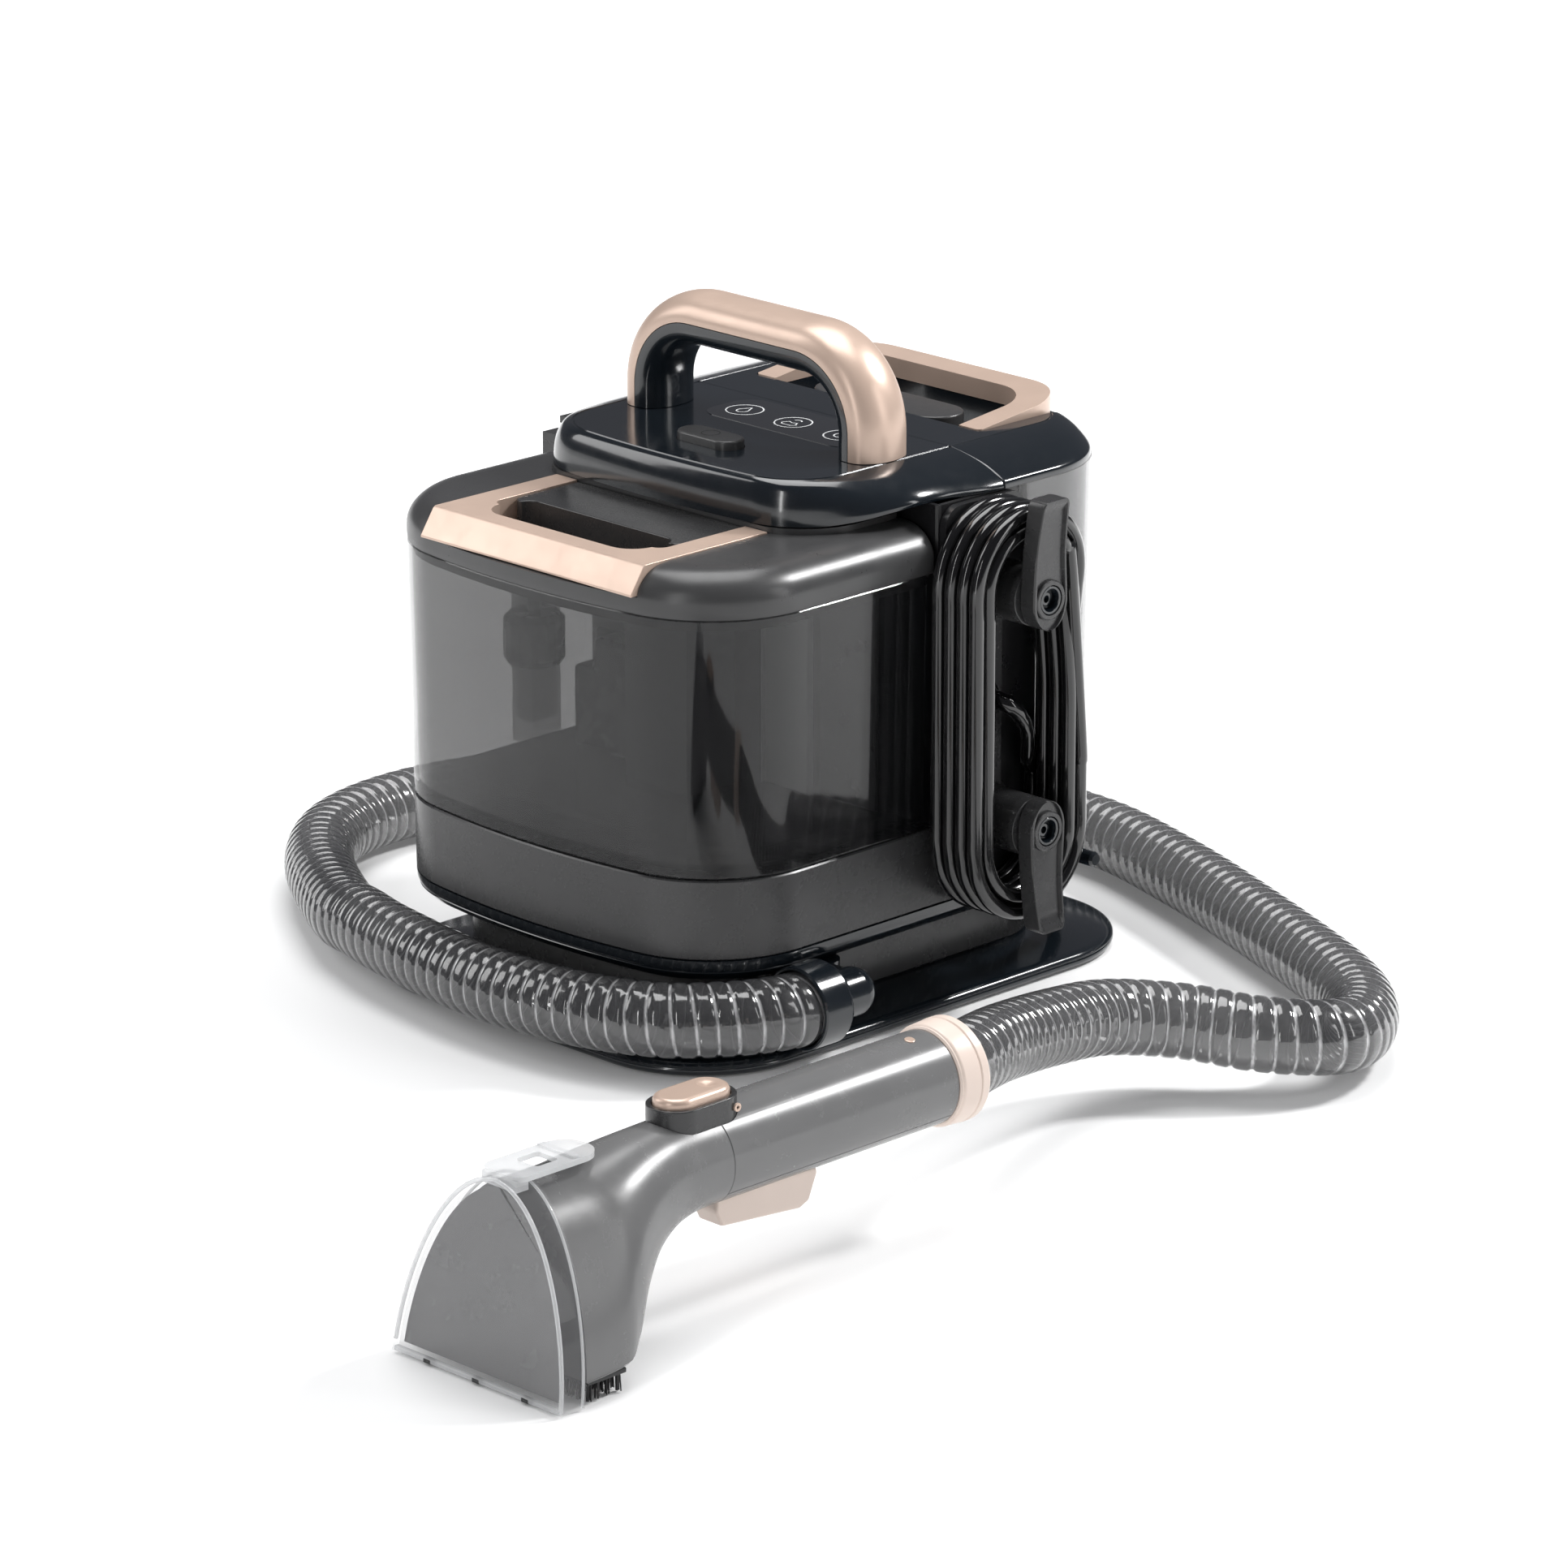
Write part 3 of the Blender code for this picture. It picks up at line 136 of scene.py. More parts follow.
HOSE_ROUTE = [(0.129, -0.087, 0.028), (0.129, -0.099, 0.028), (0.1262, -0.1125, 0.0285),
              (0.118, -0.131, 0.029), (0.095, -0.155, 0.029), (0.0503, -0.169, 0.028),
              (-0.0077, -0.172, 0.027), (-0.077, -0.162, 0.0266), (-0.111, -0.152, 0.0254),
              (-0.14, -0.14, 0.0225), (-0.2014, -0.1001, 0.0195), (-0.238, -0.06, 0.019),
              (-0.25, -0.01, 0.019), (-0.24, 0.045, 0.019), (-0.205, 0.113, 0.019),
              (-0.145, 0.172, 0.019), (-0.065, 0.208, 0.019), (0.0235, 0.2171, 0.019),
              (0.1013, 0.198, 0.019), (0.179, 0.1681, 0.019), (0.2548, 0.135, 0.019),
              (0.292, 0.112, 0.0195), (0.317, 0.082, 0.0215), (0.324, 0.054, 0.026),
              (0.306, 0.026, 0.03), (0.278, 0.003, 0.035), (0.262, -0.03, 0.041),
              (0.266, -0.07, 0.0475), (0.28, -0.115, 0.056), (0.296, -0.148, 0.0635),
              (0.308, -0.177, 0.067), (0.308, -0.189, 0.067)]
TAIL_ROUTE = [(0.133, 0.0655, 0.054), (0.1305, 0.071, 0.044), (0.125, 0.0775, 0.034),
              (0.117, 0.086, 0.0245), (0.1085, 0.098, 0.0188), (0.098, 0.1125, 0.0166),
              (0.084, 0.1245, 0.0162), (0.064, 0.131, 0.0172), (0.054, 0.1328, 0.0215),
              (0.0436, 0.1338, 0.0241)]
LEAD_ROUTE = [(0.1235, 0.034, 0.15), (0.129, 0.034, 0.15), (0.1345, 0.037, 0.148),
              (0.1365, 0.0425, 0.143), (0.136, 0.0485, 0.135), (0.1335, 0.0525, 0.126),
              (0.13, 0.0562, 0.116)]

X_AXIS = (1, 0, 0)
Y_AXIS = (0, 1, 0)
Z_AXIS = (0, 0, 1)

NODES = {}


# ---- mesh helpers

def mesh_object(name, points, faces):
    mesh = bpy.data.meshes.new(name)
    mesh.from_pydata([tuple(p) for p in points], [], faces)
    bm = bmesh.new()
    bm.from_mesh(mesh)
    bmesh.ops.recalc_face_normals(bm, faces=bm.faces)
    bm.to_mesh(mesh)
    bm.free()
    obj = bpy.data.objects.new(name, mesh)
    bpy.context.collection.objects.link(obj)
    return obj


def loft(name, rings, closed=False):
    """Skin a list of rings that all have the same number of points."""
    count = len(rings[0])
    points = [p for ring in rings for p in ring]
    faces = []
    spans = len(rings) if closed else len(rings) - 1
    for i in range(spans):
        a = i * count
        b = ((i + 1) % len(rings)) * count
        for j in range(count):
            k = (j + 1) % count
            faces.append((a + j, a + k, b + k, b + j))
    if not closed:
        faces.append(tuple(range(count)))
        faces.append(tuple(range(len(points) - count, len(points))))
    return mesh_object(name, points, faces)


def at(outline, z):
    return [Vector((x, y, z)) for x, y in outline]


def upright(outline, x):
    """An outline of (y, z) pairs, stood up at x."""
    return [Vector((x, y, z)) for y, z in outline]


def prism(name, outline, z0, z1):
    return loft(name, [at(outline, z0), at(outline, z1)])


def box(name, x0, x1, y0, y1, z0, z1):
    return prism(name, [(x0, y0), (x1, y0), (x1, y1), (x0, y1)], z0, z1)


def basis(axis):
    axis = Vector(axis).normalized()
    side = Vector((0, 0, 1)).cross(axis)
    if side.length < 1e-6:
        side = Vector(X_AXIS)
    side.normalize()
    return axis, side, axis.cross(side)


def circle(centre, side, up, radius, steps):
    turn = [2 * math.pi * i / steps for i in range(steps)]
    return [centre + radius * (math.cos(t) * side + math.sin(t) * up) for t in turn]


def turned(name, profile, centre, axis, steps=64, closed=False):
    """A solid of revolution: profile is (distance along axis, radius)."""
    axis = Vector(axis).normalized()
    _, side, up = basis(axis)
    rings = [circle(Vector(centre) + h * axis, side, up, r, steps) for h, r in profile]
    return loft(name, rings, closed)


def pipe(name, profile, centre, axis, steps=64):
    """A turned ring whose closed profile is (distance, radius) all the way round."""
    return turned(name, profile, centre, axis, steps, True)


def baked(obj):
    """Apply all modifiers."""
    bpy.context.view_layer.update()
    graph = bpy.context.evaluated_depsgraph_get()
    result = bpy.data.meshes.new_from_object(obj.evaluated_get(graph))
    obj.modifiers.clear()
    obj.data = result
    return obj


def combine(target, others, operation):
    for other in others:
        step = target.modifiers.new("step", "BOOLEAN")
        step.operation = operation
        step.solver = "EXACT"
        step.object = other
        baked(target)
        bpy.data.objects.remove(other, do_unlink=True)
    return target


def cut(target, *cutters):
    return combine(target, cutters, "DIFFERENCE")


def join(target, *others):
    return combine(target, others, "UNION")


def softened(obj, width, segments=3, angle=32):
    """Round the edges sharper than the angle."""
    step = obj.modifiers.new("edges", "BEVEL")
    step.width = width
    step.segments = segments
    step.limit_method = "ANGLE"
    step.angle_limit = math.radians(angle)
    return baked(obj)


def shaded(obj, sharp=38):
    obj.data.shade_smooth()
    obj.data.set_sharp_from_angle(angle=math.radians(sharp))
    step = obj.modifiers.new("normals", "WEIGHTED_NORMAL")
    step.keep_sharp = True
    return baked(obj)


def place(obj, look, body, *nodes, sharp=38):
    """Give a finished piece its material, its body and the CAD nodes it stands for."""
    if sharp:
        shaded(obj, sharp)
    obj.data.materials.clear()
    obj.data.materials.append(LOOKS[look])
    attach(obj, body)
    if nodes:
        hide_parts(*nodes)
    return obj


def tube(name, path, radius, steps=10):
    """A round tube along a path."""
    rings = [circle(centre, side, up, radius, steps)
             for centre, (side, up) in zip(path, tube_frames(path))]
    obj = loft(name, rings)
    obj.data.shade_smooth()
    return obj


# ---- outlines

def arc(cx, cy, radius, start, end, steps):
    out = []
    for i in range(steps + 1):
        t = math.radians(start + (end - start) * i / steps)
        out.append((cx + radius * math.cos(t), cy + radius * math.sin(t)))
    return out


def rounded(x0, x1, y0, y1, radii, steps=14):
    fl, fr, br, bl = radii
    outline = arc(x0 + fl, y0 + fl, fl, 180, 270, steps)
    outline += arc(x1 - fr, y0 + fr, fr, 270, 360, steps)
    outline += arc(x1 - br, y1 - br, br, 0, 90, steps)
    outline += arc(x0 + bl, y1 - bl, bl, 90, 180, steps)
    return outline


def bowed(half_w, y0, y1, front_r, back_r, inset=0.0, bow=FRONT_BOW_R, steps=28):
    """Body plan with a bowed front. With y1 None the back mirrors the front."""
    w = half_w - inset
    r = front_r - inset
    big = bow - inset
    reach = math.asin((w - r) / (big - r))
    cy = y0 + inset + big - (big - r) * math.cos(reach)
    turn = math.degrees(reach)
    front = arc(0, y0 + inset + big, big, 270 - turn, 270 + turn, 20)[1:-1]
    outline = arc(r - w, cy, r, 180, 270 - turn, steps)
    outline += front
    outline += arc(w - r, cy, r, 270 + turn, 360, steps)
    if y1 is None:
        return outline + [(-x, -y) for x, y in outline]
    outline += arc(w - back_r, y1 - back_r, back_r, 0, 90, 6)
    outline += arc(back_r - w, y1 - back_r, back_r, 90, 180, 6)
    return outline


def half_width(z):
    return HALF_W - TAPER * (Z_LID - z)


def half_depth(z):
    return HALF_D - TAPER * (Z_LID - z)


def whole_plan(z, inset):
    return bowed(half_width(z), -half_depth(z), None, CORNER_R, 0, inset)


def stadium(length, width, cx, cy, steps=16):
    r = width / 2
    straight = length / 2 - r
    outline = arc(cx + straight, cy, r, -90, 90, steps)
    outline += arc(cx - straight, cy, r, 90, 270, steps)
    return outline


def stadium_rings(length, width, cy, levels):
    """Sections of a stadium-shaped piece, each inset as its level says."""
    return [at(stadium(length - 2 * i, width - 2 * i, 0, cy), z) for z, i in levels]


def slot_along_y(x, y0, y1, width, steps=14):
    r = width / 2
    return arc(x, y0 + r, r, 180, 360, steps) + arc(x, y1 - r, r, 0, 180, steps)


def smooth(t):
    """0 to 1 with level ends, as t goes from 0 to 1."""
    t = min(1.0, max(0.0, t))
    return t * t * (3 - 2 * t)


def between(a, b, c, d, t):
    """The point t of the way from b to c, on a smooth curve that also runs through a and d."""
    return 0.5 * (2 * b + (c - a) * t + (2 * a - 5 * b + 4 * c - d) * t * t
                  + (3 * b - a - 3 * c + d) * t ** 3)


def eased(levels, steps=5):
    """More levels on a smooth curve through the given ones."""
    pts = [Vector(p) for p in levels]
    ends = [2 * pts[0] - pts[1]] + pts + [2 * pts[-1] - pts[-2]]
    out = []
    for i in range(1, len(ends) - 2):
        out += [between(*ends[i - 1:i + 3], k / steps) for k in range(steps)]
    out.append(pts[-1])
    return out


def route_points(points, spacing):
    """Evenly spaced points on a smooth curve through the given ones."""
    dense = eased(points, 24)
    length = sum((q - p).length for p, q in zip(dense, dense[1:]))
    count = max(2, round(length / spacing))
    out = [dense[0]]
    walked = 0.0
    target = length / count
    for p, q in zip(dense, dense[1:]):
        step = (q - p).length
        while walked + step >= target - 1e-9 and len(out) < count:
            out.append(p.lerp(q, (target - walked) / step))
            target += length / count
        walked += step
    out.append(dense[-1])
    return out


# ---- camera, floor, light

CAMERA_AT = Vector((2.391, -2.349, 1.164))
CAMERA_TARGET = Vector((-0.0158, 0.0384, 0.0741))
CAMERA_LENS = 167.7
FLOOR_Z = -0.0004


def build_camera():
    data = bpy.data.cameras.new("camera")
    data.lens = CAMERA_LENS
    data.sensor_width = 36
    data.clip_end = 60
    camera = bpy.data.objects.new("camera", data)
    bpy.context.collection.objects.link(camera)
    camera.location = CAMERA_AT
    camera.rotation_euler = (CAMERA_TARGET - CAMERA_AT).to_track_quat("-Z", "Y").to_euler()
    bpy.context.scene.camera = camera


def area_light(name, place_at, target, size_x, size_y, power):
    data = bpy.data.lights.new(name, "AREA")
    data.shape = "RECTANGLE"
    data.size = size_x
    data.size_y = size_y
    data.energy = power
    light = bpy.data.objects.new(name, data)
    bpy.context.collection.objects.link(light)
    light.location = place_at
    light.rotation_euler = (Vector(target) - Vector(place_at)).to_track_quat("-Z", "Y").to_euler()


def build_floor():
    """White paper, which glows a little near the machine and fully white far away."""
    floor = mesh_object("floor", [(x, y, FLOOR_Z) for x, y in ((-9, -9), (9, -9), (9, 9), (-9, 9))],
                        [(0, 1, 2, 3)])
    mat, tree, shader = new_look("floor_paper")
    shader.inputs["Base Color"].default_value = (0.93, 0.93, 0.93, 1)
    shader.inputs["Roughness"].default_value = 0.85
    shader.inputs["Specular IOR Level"].default_value = 0.1
    shader.inputs["Emission Color"].default_value = (1, 1, 1, 1)
    where = add_node(tree, "TexCoord")
    away = add_node(tree, "VectorMath")
    away.operation = "LENGTH"
    tree.links.new(where.outputs["Object"], away.inputs[0])
    glow = spread(tree, away.outputs["Value"], 0.05, 0.9, 0.7, 2.4)
    tree.links.new(glow, shader.inputs["Emission Strength"])
    floor.data.materials.append(mat)


def background(tree, colour, strength):
    return add_node(tree, "Background", Color=(*colour, 1), Strength=strength).outputs["Background"]


def mixed(tree, share, first, second):
    node = add_node(tree, "MixShader")
    tree.links.new(share, node.inputs["Fac"])
    tree.links.new(first, node.inputs[1])
    tree.links.new(second, node.inputs[2])
    return node.outputs["Shader"]


def build_world():
    """Soft grey fill, a dark room for reflections and plain white behind."""
    world = bpy.data.worlds.new("studio")
    bpy.context.scene.world = world
    world.use_nodes = True
    tree = world.node_tree
    tree.nodes.remove(tree.nodes["Background"])
    fill = background(tree, (0.62, 0.63, 0.65), 0.36)
    mirrored = background(tree, (0.1, 0.1, 0.11), 1.0)
    seen = background(tree, (1.0, 1.0, 1.0), 1.0)
    ray = add_node(tree, "LightPath")
    unseen = mixed(tree, ray.outputs["Is Glossy Ray"], fill, mirrored)
    whole = mixed(tree, ray.outputs["Is Camera Ray"], unseen, seen)
    tree.links.new(whole, tree.nodes["World Output"].inputs["Surface"])


# Name, place, target, width, height, power
LIGHTS = [("top_box", (-0.3, 0.2, 2.2), (0, 0, 0.1), 1.5, 1.5, 38),
          ("left_box", (-1.7, -1.2, 1.3), (0, -0.1, 0.15), 0.9, 1.5, 16),
          ("front_strip", (0.6, -2.3, 0.9), (0.1, -0.1, 0.15), 0.14, 1.8, 10),
          ("back_key", (0.9, 1.5, 1.7), (0, 0, 0.1), 0.4, 0.4, 46),
          ("right_strip", (2.2, 0.9, 1.0), (0.1, 0.0, 0.15), 0.35, 1.5, 8)]


def build_stage():
    build_floor()
    build_world()
    for light in LIGHTS:
        area_light(*light)
    bpy.context.scene.view_settings.view_transform = "Standard"
    bpy.context.scene.view_settings.look = "None"


# ---- materials

def new_look(name):
    mat = bpy.data.materials.new(name)
    mat.use_nodes = True
    tree = mat.node_tree
    return mat, tree, tree.nodes["Principled BSDF"]


def add_node(tree, kind, **values):
    """A new node with the given inputs set; underscores stand for spaces."""
    node = tree.nodes.new("ShaderNode" + kind)
    for name, value in values.items():
        node.inputs[name.replace("_", " ")].default_value = value
    return node


def object_noise(tree, scale, detail=3.0, roughness=0.5):
    where = add_node(tree, "TexCoord")
    noise = add_node(tree, "TexNoise", Scale=scale, Detail=detail, Roughness=roughness)
    tree.links.new(where.outputs["Object"], noise.inputs["Vector"])
    return noise.outputs["Fac"]


def spread(tree, value, low, high, start=0.3, end=0.7):
    """Map a value between start and end to the range low-high."""
    node = add_node(tree, "MapRange", From_Min=start, From_Max=end, To_Min=low, To_Max=high)
    tree.links.new(value, node.inputs["Value"])
    return node.outputs["Result"]


def tinted(tree, value, dark, light, start=0.3, end=0.7):
    ramp = add_node(tree, "ValToRGB")
    for stop, colour, at_value in zip(ramp.color_ramp.elements, (dark, light), (start, end)):
        stop.color = (*colour, 1)
        stop.position = at_value
    tree.links.new(value, ramp.inputs["Fac"])
    return ramp.outputs["Color"]


def add_bump(tree, shader, height, strength, distance):
    bump = add_node(tree, "Bump", Strength=strength, Distance=distance)
    tree.links.new(height, bump.inputs["Height"])
    tree.links.new(bump.outputs["Normal"], shader.inputs["Normal"])


def scaled(colour, factor):
    return tuple(c * factor for c in colour)


def plastic(name, colour, roughness, grain, depth, metallic=0.0, coat=0.0, vary=0.06, rough_vary=0.05):
    """Moulded plastic: fine grain, faint handling marks in the gloss, slight colour drift."""
    mat, tree, shader = new_look(name)
    drift = object_noise(tree, 9.0, 4.0, 0.6)
    tree.links.new(tinted(tree, drift, scaled(colour, 1 - vary), scaled(colour, 1 + vary)),
                   shader.inputs["Base Color"])
    marks = object_noise(tree, 60.0, 6.0, 0.7)
    tree.links.new(spread(tree, marks, roughness - rough_vary, roughness + rough_vary),
                   shader.inputs["Roughness"])
    add_bump(tree, shader, object_noise(tree, grain, 2.0), 0.35, depth)
    shader.inputs["Metallic"].default_value = metallic
    shader.inputs["Coat Weight"].default_value = coat
    shader.inputs["Coat Roughness"].default_value = 0.08
    return mat


def smoky(name, colour, alpha, roughness, drift_scale=14.0):
    """Tinted clear plastic, with faint flow marks in its surface."""
    mat, tree, shader = new_look(name)
    drift = object_noise(tree, drift_scale, 3.0, 0.5)
    tree.links.new(tinted(tree, drift, scaled(colour, 0.9), scaled(colour, 1.1)),
                   shader.inputs["Base Color"])
    tree.links.new(spread(tree, object_noise(tree, 40.0, 5.0, 0.7), roughness * 0.7, roughness * 1.5),
                   shader.inputs["Roughness"])
    add_bump(tree, shader, object_noise(tree, 22.0, 1.0), 0.05, 0.0006)
    shader.inputs["Alpha"].default_value = alpha
    shader.inputs["IOR"].default_value = 1.5
    shader.inputs["Coat Weight"].default_value = 0.6
    shader.inputs["Coat IOR"].default_value = 1.5
    shader.inputs["Coat Roughness"].default_value = 0.03
    return mat


def hose_look():
    """Ribbed hose wall: the rib attribute runs from 0 in a groove to 1 on a crest. The pale colour in each
    groove is a painted highlight line; the dark crests are the hose's own smoky tone.
    """
    mat, tree, shader = new_look("hose_wall")
    rib = add_node(tree, "Attribute")
    rib.attribute_name = "rib"
    # Painted highlight: a pale line in each rib groove, over the hose's own dark tone on the crests.
    groove_highlight_bands = tinted(tree, rib.outputs["Fac"], (0.66, 0.66, 0.67), (0.05, 0.05, 0.052), 0.22, 0.62)
    tree.links.new(groove_highlight_bands, shader.inputs["Base Color"])
    tree.links.new(spread(tree, object_noise(tree, 70.0, 4.0, 0.6), 0.08, 0.22), shader.inputs["Roughness"])
    add_bump(tree, shader, object_noise(tree, 160.0, 3.0, 0.6), 0.22, 0.0006)
    shader.inputs["Alpha"].default_value = 0.78
    shader.inputs["Coat Weight"].default_value = 0.8
    shader.inputs["Coat IOR"].default_value = 1.7
    return mat


def flat_look(name, colour, roughness):
    return plastic(name, colour, roughness, 2500.0, 0.00002, vary=0.03, rough_vary=0.03)


LOOKS = {}

# Plastic and metal: name, colour, roughness, grain scale, grain depth, metallic, coat
PLASTICS = {
    "navy": ("navy_gloss", (0.007, 0.01, 0.0135), 0.17, 900.0, 0.000008, 0.0, 0.45),
    "charcoal": ("charcoal_satin", (0.032, 0.032, 0.033), 0.27, 3200.0, 0.00003),
    "charcoal_lid": ("lid_satin", (0.044, 0.044, 0.045), 0.31, 3200.0, 0.00003),
    "tool": ("tool_satin", (0.148, 0.148, 0.149), 0.25, 3200.0, 0.00003),
    "rose": ("rose_gold", (0.6, 0.45, 0.365), 0.33, 1500.0, 0.000008, 0.35),
    "pale_rose": ("pale_rose", (0.72, 0.6, 0.53), 0.34, 3200.0, 0.00002),
    "panel": ("panel_glass", (0.006, 0.008, 0.011), 0.07, 900.0, 0.000004, 0.0, 1.0),
    "rubber": ("black_rubber", (0.016, 0.016, 0.016), 0.62, 2600.0, 0.00008),
    "cord": ("cord_jacket", (0.0045, 0.0045, 0.005), 0.13, 1800.0, 0.00001, 0.0, 0.5),
    "bristle": ("bristle", (0.01, 0.01, 0.011), 0.42, 1800.0, 0.00004),
    "inner": ("inner_plastic", (0.06, 0.06, 0.062), 0.4, 2600.0, 0.00004),
    "light_inner": ("light_inner", (0.42, 0.42, 0.425), 0.35, 2600.0, 0.00003),
    "column": ("column_wall", (0.01, 0.01, 0.011), 0.3, 2600.0, 0.00003),
    "steel": ("steel", (0.52, 0.52, 0.53), 0.28, 1600.0, 0.00002, 1.0),
    "board": ("circuit_board", (0.015, 0.09, 0.04), 0.45, 900.0, 0.00005),
}
# Tinted clear plastic: name, colour, alpha, roughness
SMOKY = {
    "tank": ("tank_smoke", (0.01, 0.01, 0.011), 0.48, 0.05),
    "clean": ("clean_tank_smoke", (0.06, 0.06, 0.062), 0.48, 0.05),
    "clear": ("clear_plastic", (0.42, 0.42, 0.43), 0.12, 0.04),
    # Pale clear plastic: its own colour on the nozzle's tab and lip, and a painted highlight along the
    # clear cover's edges.
    "pale_clear_and_edge_highlight": ("pale_clear_and_edge_highlight", (0.8, 0.81, 0.82), 0.5, 0.06),
}


def build_looks():
    for key, values in PLASTICS.items():
        LOOKS[key] = plastic(*values)
    for key, values in SMOKY.items():
        LOOKS[key] = smoky(*values)
    LOOKS["print"] = flat_look("white_print", (0.78, 0.79, 0.8), 0.45)
    LOOKS["engraved"] = flat_look("engraved_grey", (0.02, 0.02, 0.021), 0.5)
    LOOKS["hose"] = hose_look()


# ---- hose and cord

def tube_frames(path):
    """Two unit normals at each point of a path, carried along without twisting."""
    tangents = []
    for i in range(len(path)):
        a = path[max(0, i - 1)]
        b = path[min(len(path) - 1, i + 1)]
        tangents.append((b - a).normalized())
    _, side, _ = basis(tangents[0])
    frames = []
    for tangent in tangents:
        side = (side - side.dot(tangent) * tangent).normalized()
        frames.append((side, tangent.cross(side)))
    return frames


def rib_height(phase):
    """1 on the wide crest and 0 in the narrow groove, once per turn of the spiral."""
    away = abs((phase % 1.0) - 0.5) * 2
    return min(1.0, max(0.0, (1 - away) / 0.42)) ** 0.6


def build_hose():
    ends = [Vector(HOSE_ROUTE[0]), Vector(HOSE_ROUTE[-1])]
    middle = route_points(HOSE_ROUTE[1:-1], 0.0011)
    lead_in = [ends[0].lerp(middle[0], k / 10) for k in range(10)]
    lead_out = [middle[-1].lerp(ends[1], k / 10) for k in range(1, 11)]
    path = lead_in + middle + lead_out
    steps = 40
    points = []
    ribs = []
    walked = 0.0
    for i, (centre, (side, up)) in enumerate(zip(path, tube_frames(path))):
        if i:
            walked += (centre - path[i - 1]).length
        for j in range(steps):
            t = 2 * math.pi * j / steps
            rib = rib_height(walked / RIB_PITCH - j / steps)
            radius = HOSE_D / 2 - 0.0003 - 0.0018 * (1 - rib)
            points.append(centre + radius * (math.cos(t) * side + math.sin(t) * up))
            ribs.append(rib)
    faces = []
    for i in range(len(path) - 1):
        for j in range(steps):
            k = (j + 1) % steps
            faces.append((i * steps + j, i * steps + k, (i + 1) * steps + k, (i + 1) * steps + j))
    faces.append(tuple(range(steps)))
    faces.append(tuple(range(len(points) - steps, len(points))))
    hose = mesh_object("ribbed_hose", points, faces)
    mark = hose.data.attributes.new("rib", "FLOAT", "POINT")
    mark.data.foreach_set("value", ribs)
    hose.data.shade_smooth()
    place(hose, "hose", "machine", "suction_hose", sharp=None)


def wound_point(turn, layer, x):
    """Where the cord's centre is after some turns clockwise, starting half way up the right side."""
    r = COIL_LAYERS[layer]
    straight = COIL_Z1 - COIL_Z0
    bend = math.pi * r
    whole = 2 * straight + 2 * bend
    s = (turn % 1.0) * whole
    legs = (straight / 2, bend, straight, bend)
    if s < legs[0]:
        return Vector((x, WRAP_Y + r, COIL_Z0 + straight / 2 - s))
    s -= legs[0]
    if s < legs[1]:
        t = -s / r
        return Vector((x, WRAP_Y + r * math.cos(t), COIL_Z0 + r * math.sin(t)))
    s -= legs[1]
    if s < legs[2]:
        return Vector((x, WRAP_Y - r, COIL_Z0 + s))
    s -= legs[2]
    if s < legs[3]:
        t = math.pi - s / r
        return Vector((x, WRAP_Y + r * math.cos(t), COIL_Z1 + r * math.sin(t)))
    return Vector((x, WRAP_Y + r, COIL_Z1 - (s - legs[3])))


def step_across(turn):
    """Cord position across the winding: each turn moves over one place on its last quarter."""
    whole = math.floor(turn)
    return COIL_X0 + CORD_PITCH * (0.5 + whole + smooth((turn - whole - 0.78) / 0.22))


def cord_radius(walked):
    """The jacket's radius, with a tapered strain relief over its first centimetres."""
    if walked > 0.03:
        return CORD_D / 2 - 0.0001
    ridge = 0.0002 * math.cos(2 * math.pi * walked / 0.004)
    return CORD_D / 2 - 0.0001 + 0.0012 * (1 - walked / 0.03) + ridge


def build_cord():
    route = [Vector(p) for p in LEAD_ROUTE]
    samples = 44
    for i in range(4, samples * COIL_TURNS - 6):
        turn = i / samples
        route.append(wound_point(turn, 0, min(step_across(turn), COIL_X0 + CORD_PITCH * 3.5)))
    for i in range(2, samples * COIL_TURNS + 3):
        turn = i / samples
        x = 2 * COIL_X0 + CORD_PITCH * COIL_TURNS - step_across(turn)
        route.append(wound_point(turn, 1, max(x, COIL_X0 + CORD_PITCH * 0.5)))
    route += [Vector(p) for p in TAIL_ROUTE]
    path = route_points(route, 0.0025)
    rings = []
    walked = 0.0
    for i, (centre, (side, up)) in enumerate(zip(path, tube_frames(path))):
        if i:
            walked += (centre - path[i - 1]).length
        rings.append(circle(centre, side, up, cord_radius(walked), 12))
    cord = loft("power_cord", rings)
    cord.data.shade_smooth()
    place(cord, "cord", "machine", "power_cord_lead", "power_cord_tail", "cord_coil", sharp=None)


# ---- base and lower body

def inset_plan(sizes, inset):
    w, d, r = (size - inset for size in sizes)
    return rounded(-w, w, -d, d, (r, r, r, r), 30)


def build_base():
    levels = [(0.0004, 0.0022), (0.001, 0.001), (0.0022, 0.0002), (0.0036, 0.0), (0.0042, 0.0006),
              (0.0046, 0.0006), (0.0054, 0.0001), (0.0066, 0.0008), (0.0074, 0.0022), (0.0079, 0.0045)]
    rings = [at(inset_plan(BASE, inset), z) for z, inset in levels]
    rings.append(at(inset_plan(BASE, 0.012), 0.0086))
    rings.append(at(inset_plan(PEDESTAL, -0.006), Z_BASE_TOP - 0.0008))
    rings.append(at(inset_plan(PEDESTAL, 0.0), Z_BASE_TOP))
    place(loft("base", rings), "navy", "machine", "base_plate", sharp=60)

    rings = [at(inset_plan(PEDESTAL, i), z) for z, i in ((Z_BASE_TOP, 0.001), (Z_BASE_TOP + 0.001, 0.0),
                                                     (Z_SKIRT - 0.002, 0.0), (Z_SKIRT - GAP, 0.001))]
    place(loft("pedestal_wall", rings), "charcoal", "machine", "pedestal")


def plan_rings(levels):
    return [at(whole_plan(z, inset), z) for z, inset in levels]


